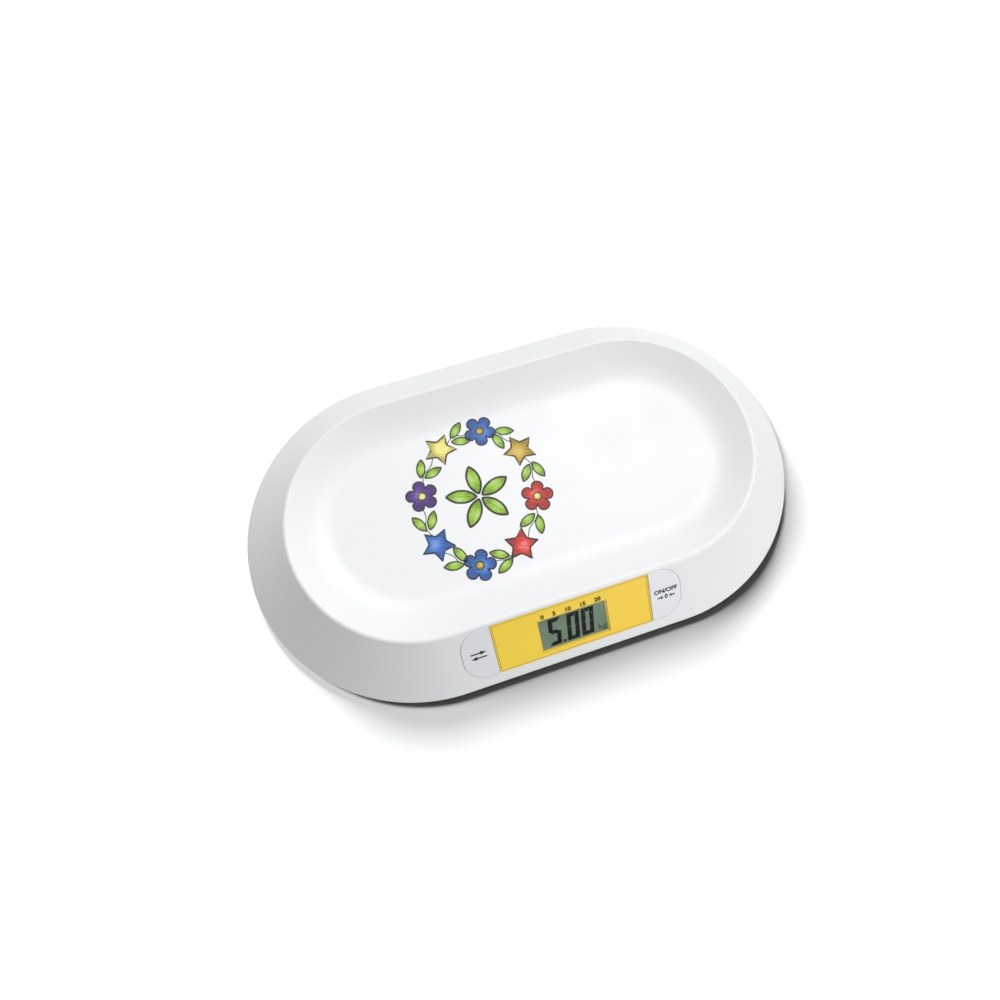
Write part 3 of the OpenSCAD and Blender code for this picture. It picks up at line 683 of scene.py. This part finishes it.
class BABYSCALE_OT_bezel(Operator):
    """Coloured bezel with its printed line and the opening for the display"""
    bl_idname = "baby_scale.bezel"
    bl_label = "Display Bezel"

    def execute(self, context):
        body, panel, colours = settings()
        fit, edge, line, over = panel.panel_fit, 1.1 * MM, 0.5 * MM, 1 * MM
        size = (panel.bezel_l - 2 * fit, panel.panel_h - 2 * fit, panel.bezel_t)
        bezel = block("bezel", size, -panel.bezel_t)
        edit(bezel)
        pick(facing_up)
        for width in (edge, line):
            bpy.ops.mesh.inset(thickness=width)
        object_mode()
        line_x, line_y = (full / 2 - edge - line / 2 for full in size[:2])
        for polygon in bezel.data.polygons:
            x, y, _ = polygon.center
            on_line = min(abs(abs(x) - line_x), abs(abs(y) - line_y)) < 0.05 * MM
            polygon.material_index = int(facing_up(polygon) and on_line)
        middle = shift(0, -panel.view_drop)
        seat = (*view_size(panel, panel.window_rim), panel.window_t + over)
        cut(bezel, block("seat", seat, -panel.window_t, middle))
        hole = (panel.view_l, panel.view_h, panel.bezel_t + 2 * over)
        cut(bezel, block("hole", hole, -panel.bezel_t - over, middle))
        edit(bezel)
        pick(lambda e: all(abs(v.co.z) < 0.001 * MM for v in e.verts) and e.calc_face_angle(0) > 0.5, "EDGE")
        bpy.ops.mesh.bevel(offset=0.15 * MM, segments=2)
        weighted(smooth(place(bezel, panel_matrix(body, panel))))
        finish_piece(bezel, "bezel_overlay", "housing", "bezel_yellow",
                     make_bezel_yellow(colours), make_ink("ink_brown", colours.bezel_line))
        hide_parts("display_bezel")
        return {"FINISHED"}


# Which of the seven segments each digit lights: a top, b and c right, d bottom, e and f left, g middle
LIT = {"0": "abcdef", "1": "bc", "2": "abged", "3": "abgcd", "4": "fgbc", "5": "afgcd",
       "6": "afgedc", "7": "abc", "8": "abcdefg", "9": "abcdfg"}

# Shares of a segment's width that are cut off its inner side, at a corner of the digit and at its middle
CORNER, MIDDLE = 0.86, 0.24

# Place of each segment: side, row, quarter turns that bring its inner side inwards, and how its ends are cut
SEGMENTS = {
    "a": (0, 1, 0, (CORNER, CORNER)), "b": (1, 1, -1, (CORNER, MIDDLE)), "c": (1, -1, -1, (MIDDLE, CORNER)),
    "d": (0, -1, 2, (CORNER, CORNER)), "e": (-1, -1, 1, (CORNER, MIDDLE)), "f": (-1, 1, 1, (MIDDLE, CORNER)),
    "g": (0, 0, 0, (MIDDLE, MIDDLE))}


class BABYSCALE_OT_display(Operator):
    """Display glass with its seven-segment reading, and the clear window over it"""
    bl_idname = "baby_scale.display"
    bl_label = "Display"

    def execute(self, context):
        body, panel, colours = settings()
        matrix = panel_matrix(body, panel) @ shift(0, -panel.view_drop)
        top = -panel.bezel_t
        glass = block("glass", (*view_size(panel, GLASS_RIM), panel.glass_t), top - panel.glass_t)
        edit(glass)
        pick(facing_up)
        bpy.ops.mesh.inset(thickness=0.8 * MM)
        pick(upright, "EDGE")
        bpy.ops.mesh.bevel(offset=0.4 * MM, segments=2)
        place(glass, matrix)
        finish_piece(smooth(glass), "lcd_glass", "housing", "display_grey", make_display_glass(colours))
        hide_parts("display_glass")
        self.reading(panel, top, matrix, make_ink("lcd_segment_black", colours.segments, 0.35))
        size = (*view_size(panel, panel.window_rim - 0.05 * MM), panel.window_t)
        window = block("window", size, -panel.window_t)
        edit(window)
        pick(lambda e: all(v.co.z > -0.001 * MM for v in e.verts), "EDGE")
        bpy.ops.mesh.bevel(offset=0.15 * MM, segments=2)
        place(window, matrix)
        finish_piece(smooth(window), "clear_window", "housing", "window_clear", make_window_clear())
        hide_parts("display_window")
        return {"FINISHED"}

    def reading(self, panel, top, matrix, ink):
        """The reading as thin solids on the glass, its unit, and the row of numbers printed above."""
        digit_h, digit_l, stroke, gap = 30.5 * MM, 12 * MM, 4.2 * MM, 0.14 * MM
        pitch, point, point_y, point_room = 14.2 * MM, 3 * MM, 1.6 * MM, 3.8 * MM
        slant = math.tan(math.radians(5))
        x = -18.2 * MM
        pieces = []
        for mark in panel.reading:
            if mark == ".":
                at = (x + (point_room - pitch) / 2, point_y - digit_h / 2)
                pieces.append(self.segment("point", (point, point), at, 0, top, (0.1, 0.1)))
                x += point_room
                continue
            for name in LIT[mark]:
                side, row, quarters, ends = SEGMENTS[name]
                if side:
                    run, away, up = digit_h / 2, side * (digit_l - stroke) / 2, row * digit_h / 4
                else:
                    run, away, up = digit_l if row else digit_l - stroke, 0, row * (digit_h - stroke) / 2
                size, turn = (run - 2 * gap, stroke), quarters * math.pi / 2
                pieces.append(self.segment(name, size, (x + away, up), turn, top, ends))
            x += pitch
        digits = join(*pieces)
        heights = sorted({round(v.co.y, 6) for v in digits.data.vertices})
        edit(digits)
        for y in heights:
            pick(lambda v: abs(v.co.y - y) < 0.0006 * MM, "VERT")
            bpy.ops.transform.translate(value=(y * slant, 0, 0))
        place(digits, matrix)
        finish_piece(digits, "lcd_digits", "housing", "display_grey", ink)
        unit = lettering("lcd_unit", "kg", 6.6 * MM, (27 * MM, -11.2 * MM, top), matrix)
        finish_piece(unit, "lcd_unit", "housing", "display_grey", ink)
        numbers_h, numbers_y = 4.4 * MM, panel.view_h / 2 + 4.4 * MM
        row = lettering("scale_numbers", "0     5     10     15     20", numbers_h, (0, numbers_y, 0), matrix,
                        weight=0.3 * MM)
        brown = make_ink("ink_brown_dark", linear("3a2c10"))
        finish_piece(row, "scale_numbers", "housing", "bezel_yellow", brown)

    def segment(self, name, size, at, turn, top, ends):
        """A bar whose ends are cut by shares of its width: as given on its inner side, a little outside."""
        bar = block(name, (*size, INK_T), top)
        outer = 0.45 if ends == (MIDDLE, MIDDLE) else 0.08
        edit(bar)
        for end, inner in zip((-1, 1), ends):
            for side, share in ((-1, inner), (1, outer)):
                pick(lambda e: upright(e) and e.verts[0].co.x * end > 0 < e.verts[0].co.y * side, "EDGE")
                bpy.ops.mesh.bevel(offset=size[1] * share)
        return place(bar, shift(*at) @ Matrix.Rotation(turn, 4, "Z"))


def lettering(name, words, height, at, matrix, weight=0.0):
    """Generic lettering as a thin solid, its middle at a place in the panel's frame."""
    size_by_height = 1.38
    deselect()
    bpy.ops.object.text_add()
    text = bpy.context.object
    text.data.body = words
    text.data.size = height * size_by_height
    text.data.align_x, text.data.align_y = "CENTER", "CENTER"
    text.data.extrude = INK_T / 2
    text.data.offset = weight
    text.data.resolution_u = 3
    activate(text)
    bpy.ops.object.convert(target="MESH")
    text = bpy.context.object
    text.name = text.data.name = name
    edit(text)
    select_all()
    bpy.ops.mesh.remove_doubles(threshold=0.001 * MM)
    x, y, z = at
    return place(text, matrix @ shift(x, y, z + INK_T / 2))


class BABYSCALE_OT_keys(Operator):
    """The two push keys with their stems and printed marks"""
    bl_idname = "baby_scale.keys"
    bl_label = "Keys"

    def execute(self, context):
        body, panel, colours = settings()
        matrix = panel_matrix(body, panel)
        satin = make_key_white(colours)
        ink = make_ink("ink_charcoal", colours.lettering)
        for side, node in ((-1, "unit_key"), (1, "power_key")):
            key = self.cap(panel, side, matrix)
            finish_piece(key, node + "_cap", node, "key_pale", satin)
            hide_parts(node)
        top = panel.key_proud
        x, word_y, zero_y, arrow_x, unit_y = key_x(panel) + 0.3 * MM, 3.4 * MM, -3.6 * MM, 5.8 * MM, 2.6 * MM
        marks = [lettering(name, words, 4.6 * MM, (x, y, top), matrix, weight=0.26 * MM)
                 for name, words, y in (("power_mark", "ON/OFF", word_y), ("zero", "0", zero_y))]
        marks += [self.arrow(5.6 * MM, (x + side * arrow_x, zero_y, top), -side, matrix) for side in (-1, 1)]
        finish_piece(join(*marks), "power_mark", "power_key", "key_pale", ink)
        marks = [self.arrow(15 * MM, (-key_x(panel), side * unit_y, top), side, matrix) for side in (-1, 1)]
        finish_piece(join(*marks), "unit_mark", "unit_key", "key_pale", ink)
        return {"FINISHED"}

    def arrow(self, size, at, way, matrix):
        """A small printed arrow to the right or left: a bar whose end is widened and drawn to a point."""
        head, middle = 0.38 * size, (0, 0, INK_T / 2)
        bar = block("arrow", (size - head, 1.4 * MM, INK_T), 0)
        edit(bar)
        pick(lambda f: f.normal.x * way > 0.9)
        for move, widen in ((0.1 * MM, 3), (head, 0.02)):
            extrude(way * move, 0, 0)
            bpy.ops.transform.resize(value=(1, widen, 1), center_override=middle)
        select_all()
        bpy.ops.transform.translate(value=(-way * head / 2, 0, 0))
        return place(bar, matrix @ shift(*at))

    def cap(self, panel, side, matrix):
        """A key with its rounded face, the stem over its switch and the two pegs that guide it."""
        proud, edge_r, sink, tip = panel.key_proud, 0.6 * MM, 0.7 * MM, 0.4 * MM
        key = key_blank("cap", panel, panel.panel_fit, side, proud - panel.key_t, panel.key_t)
        edit(key)
        pick(lambda e: all(v.co.z > proud - 0.001 * MM for v in e.verts), "EDGE")
        bpy.ops.mesh.bevel(offset=edge_r, segments=4)
        for y, r in KEY_RODS:
            at = shift(side * key_x(panel), y * panel.peg_y)
            fuse(key, rod("rod", r * MM, panel.stem_end, proud - sink, at, tip))
        return weighted(smooth(place(key, matrix), 40))


PRINT_INKS = {
    "yellow_pale": "f2e878", "blue": "3a74cc", "red": "dc3a30", "violet": "643a9a",
    "ochre": "cfae34", "lime": "9ccb34", "outline": "16140f"}


def motif(name, n, profile):
    """A flat figure 1 m in radius, drawn by moving the points of a circle one by one."""
    deselect()
    bpy.ops.mesh.primitive_circle_add(vertices=n, radius=1, fill_type="NGON")
    obj = bpy.context.object
    obj.name = obj.data.name = name
    edit(obj)
    for i, here in enumerate([v.co.copy() for v in obj.data.vertices]):
        pick(lambda v: v.index == i, "VERT")
        x, y = profile(math.atan2(here.y, here.x))
        bpy.ops.transform.translate(value=(x - here.x, y - here.y, 0))
    return obj


def star(t):
    """Five points: long at every second corner of ten."""
    r = 1.0 if round((t - math.pi / 2) / (math.pi / 5)) % 2 == 0 else 0.52
    return r * math.cos(t), r * math.sin(t)


def blossom(t):
    """Five round petals."""
    r = 0.62 + 0.38 * abs(math.cos(2.5 * t)) ** 0.6
    return r * math.cos(t), r * math.sin(t)


def leaf(t):
    """A leaf with a point at both ends."""
    x = math.cos(t)
    return x, 0.46 * math.sin(t) * (1 - 0.45 * abs(x) ** 3)


def disc(t):
    """The middle of a blossom."""
    return math.cos(t), math.sin(t)


class BABYSCALE_OT_tray_print(Operator):
    """Print on the tray: a wreath of stars, blossoms and leaves on a thin stem"""
    bl_idname = "baby_scale.tray_print"
    bl_label = "Tray Print"

    # In millimetres: the wreath's middle and half axes, the height from which it is laid down, and how far
    # the sprig's leaves stand from its middle. Its turn is in degrees
    centre, reach, above, sprig, turn = (-44, 2), (55, 68), 100, 17.5, -18
    heads = 8
    star_inks = ("ochre", "yellow_pale", "blue", "red")
    blossom_inks = ("red", "blue", "violet", "blue")
    middle_inks = ("yellow_pale", "ochre") * 2

    def execute(self, context):
        inks = {name: make_crayon(name, linear(code)) for name, code in PRINT_INKS.items()}
        models = {shape: self.model(shape, n, line) for shape, n, line in (
            (star, 10, 0.09), (blossom, 60, 0.085), (leaf, 28, 0.13), (disc, 20, 0.24))}
        figures, middles = [], []
        # Radii of the figures, and how far a pair of leaves stands off the stem, in millimetres
        star_r, blossom_r, middle_r, leaf_r, sprig_r, leaf_out = 17.5, 16, 4.6, 10, 15.5, 6.2
        for i in range(self.heads):
            t, nth = i / self.heads, i // 2
            if i % 2:
                figures.append(self.put(models[star], inks, t, 0, star_r, 20 + 31 * i, self.star_inks[nth]))
            else:
                ink, middle_ink = self.blossom_inks[nth], self.middle_inks[nth]
                figures.append(self.put(models[blossom], inks, t, 0, blossom_r, 50 * i, ink))
                middles.append(self.put(models[disc], inks, t, 0, middle_r, 0, middle_ink))
            for side in (-1, 1):
                figures.append(self.put(models[leaf], inks, t + 0.5 / self.heads, leaf_out * side, leaf_r,
                                        28 * side + 8 * (i % 3 - 1), "lime"))
        for i in range(5):
            figures.append(self.put(models[leaf], inks, None, 0, sprig_r, 20 + 72 * i, "lime"))
        for model in models.values():
            bpy.data.objects.remove(model)
        for name, parts, rise in (("tray_print_wreath", figures, 0.04), ("tray_print_centres", middles, 0.1)):
            piece = self.lay(join(*parts), rise, 0.05)
            finish_piece(piece, name, "housing", "housing_white", *inks.values())
        stem = self.lay(self.stem(), 0.005, 0.03)
        finish_piece(stem, "tray_print_stem", "housing", "housing_white", inks["outline"])
        return {"FINISHED"}

    def model(self, shape, n, line):
        """One figure: its outline as a band of its own, and inside it small faces that follow the tray."""
        obj = motif(shape.__name__, n, shape)
        if shape is star:
            select_all()
            bpy.ops.mesh.bevel(affect="VERTICES", offset=0.07, segments=3)
        pick(lambda f: True)
        bpy.ops.mesh.inset(thickness=line)
        object_mode()
        for p in obj.data.polygons:
            p.material_index = 0 if p.select else 1
        edit(obj)
        bpy.ops.mesh.select_mode(type="FACE")
        bpy.ops.mesh.quads_convert_to_tris(ngon_method="BEAUTY")
        bpy.ops.mesh.subdivide(number_cuts=3)
        object_mode()
        shade = obj.data.attributes.new("shade", "FLOAT", "POINT")
        bright, reach = Vector((0.1, 0.12, 0)), 0.62
        for v in obj.data.vertices:
            shade.data[v.index].value = max(0, 1 - (v.co - bright).length / reach)
        return obj

    def spot(self, share, out=0.0):
        """A point at a share of the wreath's round, moved outwards in millimetres, and its direction."""
        t = 2 * math.pi * share
        turn = Matrix.Rotation(math.radians(self.turn), 4, "Z")
        along = Vector((-self.reach[0] * math.sin(t), self.reach[1] * math.cos(t), 0)).normalized()
        here = Vector((self.reach[0] * math.cos(t), self.reach[1] * math.sin(t), 0))
        here += out * Vector((along.y, -along.x, 0))
        return (turn @ here + Vector((*self.centre, self.above))) * MM, turn @ along

    def put(self, model, inks, share, out, size, degrees, ink):
        """A copy of a figure with its own mesh, on the wreath or, without a share, in the sprig."""
        obj = model.copy()
        obj.data = model.data.copy()
        bpy.context.scene.collection.objects.link(obj)
        for material in inks.values():
            obj.data.materials.append(material)
        order = list(inks)
        for p in obj.data.polygons:
            p.material_index = order.index("outline" if p.material_index else ink)
        turn = Matrix.Rotation(math.radians(degrees), 4, "Z")
        if share is None:
            along = turn @ Vector((1, 0, 0))
            here = (Vector((*self.centre, self.above)) + self.sprig * along) * MM
        else:
            here, along = self.spot(share, out)
            along = turn @ along
        angle = math.atan2(along.y, along.x)
        return place(obj, shift(*here) @ Matrix.Rotation(angle, 4, "Z") @ Matrix.Scale(size * MM, 4))

    def stem(self):
        """A thin closed line through the figures, which waves a little."""
        half_width, wave = 0.45, 1.6
        deselect()
        bpy.ops.mesh.primitive_circle_add(vertices=180, radius=1, fill_type="NOTHING")
        stem = bpy.context.object
        edit(stem)
        bpy.ops.mesh.select_mode(type="EDGE")
        select_all()
        bpy.ops.mesh.extrude_region_move()
        bpy.ops.transform.resize(value=(0.5, 0.5, 1), center_override=(0, 0, 0))
        for i, here in enumerate([v.co.copy() for v in bmesh.from_edit_mesh(stem.data).verts]):
            t = math.atan2(here.y, here.x)
            out = wave * math.sin(self.heads * 2 * t) + (half_width if here.length > 0.75 else -half_width)
            pick(lambda v: v.index == i, "VERT")
            bpy.ops.transform.translate(value=self.spot(t / (2 * math.pi), out)[0] - here)
        object_mode()
        return stem

    def lay(self, obj, rise, thickness):
        """Wraps flat figures onto the tray and gives them the ink's thickness, in millimetres."""
        edit(obj)
        select_all()
        bpy.ops.mesh.normals_make_consistent(inside=False)
        object_mode()
        if obj.data.polygons[0].normal.z < 0:
            obj.data.flip_normals()
        apply_modifier(obj, "SHRINKWRAP", target=bpy.data.objects["tray_cover"], wrap_method="PROJECT",
                       use_project_z=True, use_negative_direction=True, use_positive_direction=False,
                       offset=rise * MM)
        apply_modifier(obj, "SOLIDIFY", thickness=thickness * MM, offset=1.0)
        return obj


class BABYSCALE_OT_finishes(Operator):
    """Finishes of the pieces that are shown as the part's source makes them"""
    bl_idname = "baby_scale.finishes"
    bl_label = "Other Finishes"

    def execute(self, context):
        colours = settings()[2]
        corners = ("front_left", "front_right", "back_left", "back_right")
        finishes = [
            (make_base_white(colours), ["base_pan", "battery_door"]),
            (moulded_plastic("abs_white_matte", linear("e6e6e2"), 0.5, 0.6, 0.03), ["display_holder"]),
            (make_rubber("silicone_black", linear("202020")), ["contact_strips"]),
            (make_board_green(), ["circuit_board"]),
            (moulded_plastic("nylon_black", linear("18191b"), 0.45, 0.5, 0.02, 0.1),
             ["unit_switch", "power_switch", "unit_plunger", "power_plunger"]),
            (make_metal("steel_zinc_plated", linear("c9ccd0"), 0.32),
             ["board_screws", "housing_screws", "cell_screws"]),
            (make_metal("steel_nickel_plated", linear("bfc1c4"), 0.3), ["load_cell_" + c for c in corners]),
            (moulded_plastic("abs_grey_moulded", linear("b9bbbd"), 0.5, 0.8, 0.04, 0.04),
             ["foot_" + c for c in corners]),
            (make_rubber("rubber_grey", linear("4a4b4d")), ["pad_" + c for c in corners]),
            (make_battery_sleeve(), ["battery_%d" % i for i in (1, 2, 3, 4)]),
            (make_metal("spring_steel_nickel", linear("d2d0c8"), 0.25),
             ["contact_plates", "contact_springs"]),
        ]
        for material, names in finishes:
            for name in names:
                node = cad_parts[name]
                node.data.materials.clear()
                node.data.materials.append(material)
        return {"FINISHED"}


class BABYSCALE_OT_studio(Operator):
    """Pale floor, soft lamps and the camera"""
    bl_idname = "baby_scale.studio"
    bl_label = "Studio"

    def execute(self, context):
        floor = self.floor()
        self.world(context.scene)
        alone = self.group("floor_only", floor, "INCLUDE")
        rest = self.group("all_but_floor", floor, "EXCLUDE")
        # Far lamps: where they stand, strength, width in degrees and what they light
        for name, towards, strength, width, lit in (
                ("floor_softbox_left", (-0.5, 0.5, 0.6), 5.3, 16, alone),
                ("floor_softbox_back", (0.05, 0.78, 0.55), 5.3, 16, alone),
                ("far_softbox", (0.27, 0.42, 0.866), 1.34, 24, rest),
                ("back_softbox", (0.1, 0.9, 0.42), 0.5, 40, rest),
                ("right_softbox", (0.94, -0.05, 0.33), 0.4, 40, rest),
                ("ceiling_softbox", (0, 0, 1), 1.16, 120, rest)):
            self.lamp(name, "SUN", towards, (0, 0, 0), lit, energy=strength, angle=math.radians(width))
        self.lamp("front_softbox", "AREA", (0.30, -0.80, 0.30), (0, 0, 0.03), rest,
                  shape="DISK", size=0.35, energy=2.2)
        self.camera(context.scene)
        context.scene.view_settings.view_transform = "Standard"
        return {"FINISHED"}

    def floor(self):
        deselect()
        bpy.ops.mesh.primitive_plane_add(size=12, location=(0, 0, 0))
        floor = bpy.context.object
        floor.name = "studio_floor"
        floor.data.materials.append(make_paper())
        return floor

    def world(self, scene):
        """White where it is seen; as light, faint from above and that of a grey table from below."""
        scene.world = bpy.data.worlds.new("studio_white")
        scene.world.use_nodes = True
        tree = scene.world.node_tree
        tree.nodes.clear()
        path = add(tree, "LightPath")
        seen = add(tree, "Math", {
            0: path.outputs["Is Camera Ray"], 1: path.outputs["Is Transmission Ray"]}, operation="MAXIMUM")
        shown = add(tree, "Math", {0: seen, 1: path.outputs["Is Glossy Ray"]}, operation="MAXIMUM")
        way = add(tree, "SeparateXYZ", {0: add(tree, "TexCoord").outputs["Generated"]})
        light = add(tree, "MapRange", {
            "Value": way.outputs["Z"], "From Min": -0.02, "From Max": 0.02, "To Min": 0.36, "To Max": 0.06})
        strength = add(tree, "MapRange", {"Value": shown, "To Min": light, "To Max": 1.0})
        sky = add(tree, "Background", {"Color": (1, 1, 1, 1), "Strength": strength})
        add(tree, "OutputWorld", {"Surface": sky})

    def group(self, name, floor, state):
        """What a lamp lights: the floor alone, or everything but the floor."""
        group = bpy.data.collections.new(name)
        group.objects.link(floor)
        group.collection_objects[0].light_linking.link_state = state
        return group

    def lamp(self, name, kind, at, aim, lit, **values):
        """A softbox that stands at a place, shines towards another and lights one group of objects."""
        data = bpy.data.lights.new(name, kind)
        for key, value in values.items():
            setattr(data, key, value)
        lamp = bpy.data.objects.new(name, data)
        bpy.context.scene.collection.objects.link(lamp)
        lamp.location = at
        lamp.visible_camera = False
        lamp.rotation_euler = (Vector(aim) - Vector(at)).to_track_quat("-Z", "Y").to_euler()
        lamp.light_linking.receiver_collection = lit

    def camera(self, scene):
        azimuth, elevation, roll = (math.radians(v) for v in (-23.0, 70.5, 4.6))
        distance, aim_x, aim_y, aim_z = 0.8, 0.022, 0.001, 0.005
        sensor, picture, pixels_per_mm = 36.0, 1000, 0.992
        back = Vector((math.sin(azimuth) * math.cos(elevation), -math.cos(azimuth) * math.cos(elevation),
                       math.sin(elevation)))
        right = Vector((math.cos(azimuth), math.sin(azimuth), 0))
        up = back.cross(right)
        x = math.cos(roll) * right + math.sin(roll) * up
        y = math.cos(roll) * up - math.sin(roll) * right
        data = bpy.data.cameras.new("photo_camera")
        data.sensor_width, data.lens = sensor, pixels_per_mm * distance / MM * sensor / picture
        data.clip_start, data.clip_end = 0.01, 50
        camera = bpy.data.objects.new("photo_camera", data)
        scene.collection.objects.link(camera)
        where = back * distance - x * aim_x - y * aim_y + Vector((0, 0, aim_z))
        camera.matrix_world = shift(*where) @ Matrix((x, y, back)).transposed().to_4x4()
        scene.camera = camera


class BABYSCALE_PT_sidebar(Panel):
    bl_idname = "BABYSCALE_PT_sidebar"
    bl_label = "Baby Scale"
    bl_space_type = "VIEW_3D"
    bl_region_type = "UI"
    bl_category = "Baby Scale"

    def draw(self, context):
        for operator in OPERATORS:
            self.layout.operator(operator.bl_idname)


OPERATORS = (BABYSCALE_OT_tray_cover, BABYSCALE_OT_bezel, BABYSCALE_OT_display, BABYSCALE_OT_keys,
             BABYSCALE_OT_tray_print, BABYSCALE_OT_finishes, BABYSCALE_OT_studio)
CLASSES = (BabyScaleBody, BabyScalePanel, BabyScaleColours, *OPERATORS, BABYSCALE_PT_sidebar)


def register():
    for item in CLASSES:
        bpy.utils.register_class(item)
    bpy.types.Scene.baby_scale_body = PointerProperty(type=BabyScaleBody)
    bpy.types.Scene.baby_scale_panel = PointerProperty(type=BabyScalePanel)
    bpy.types.Scene.baby_scale_colours = PointerProperty(type=BabyScaleColours)


def unregister():
    del bpy.types.Scene.baby_scale_body, bpy.types.Scene.baby_scale_panel, bpy.types.Scene.baby_scale_colours
    for item in reversed(CLASSES):
        bpy.utils.unregister_class(item)


def main():
    register()
    for step in ("tray_cover", "bezel", "display", "keys", "tray_print", "finishes", "studio"):
        getattr(bpy.ops.baby_scale, step)()
    deselect()


if __name__ == "__main__":
    main()
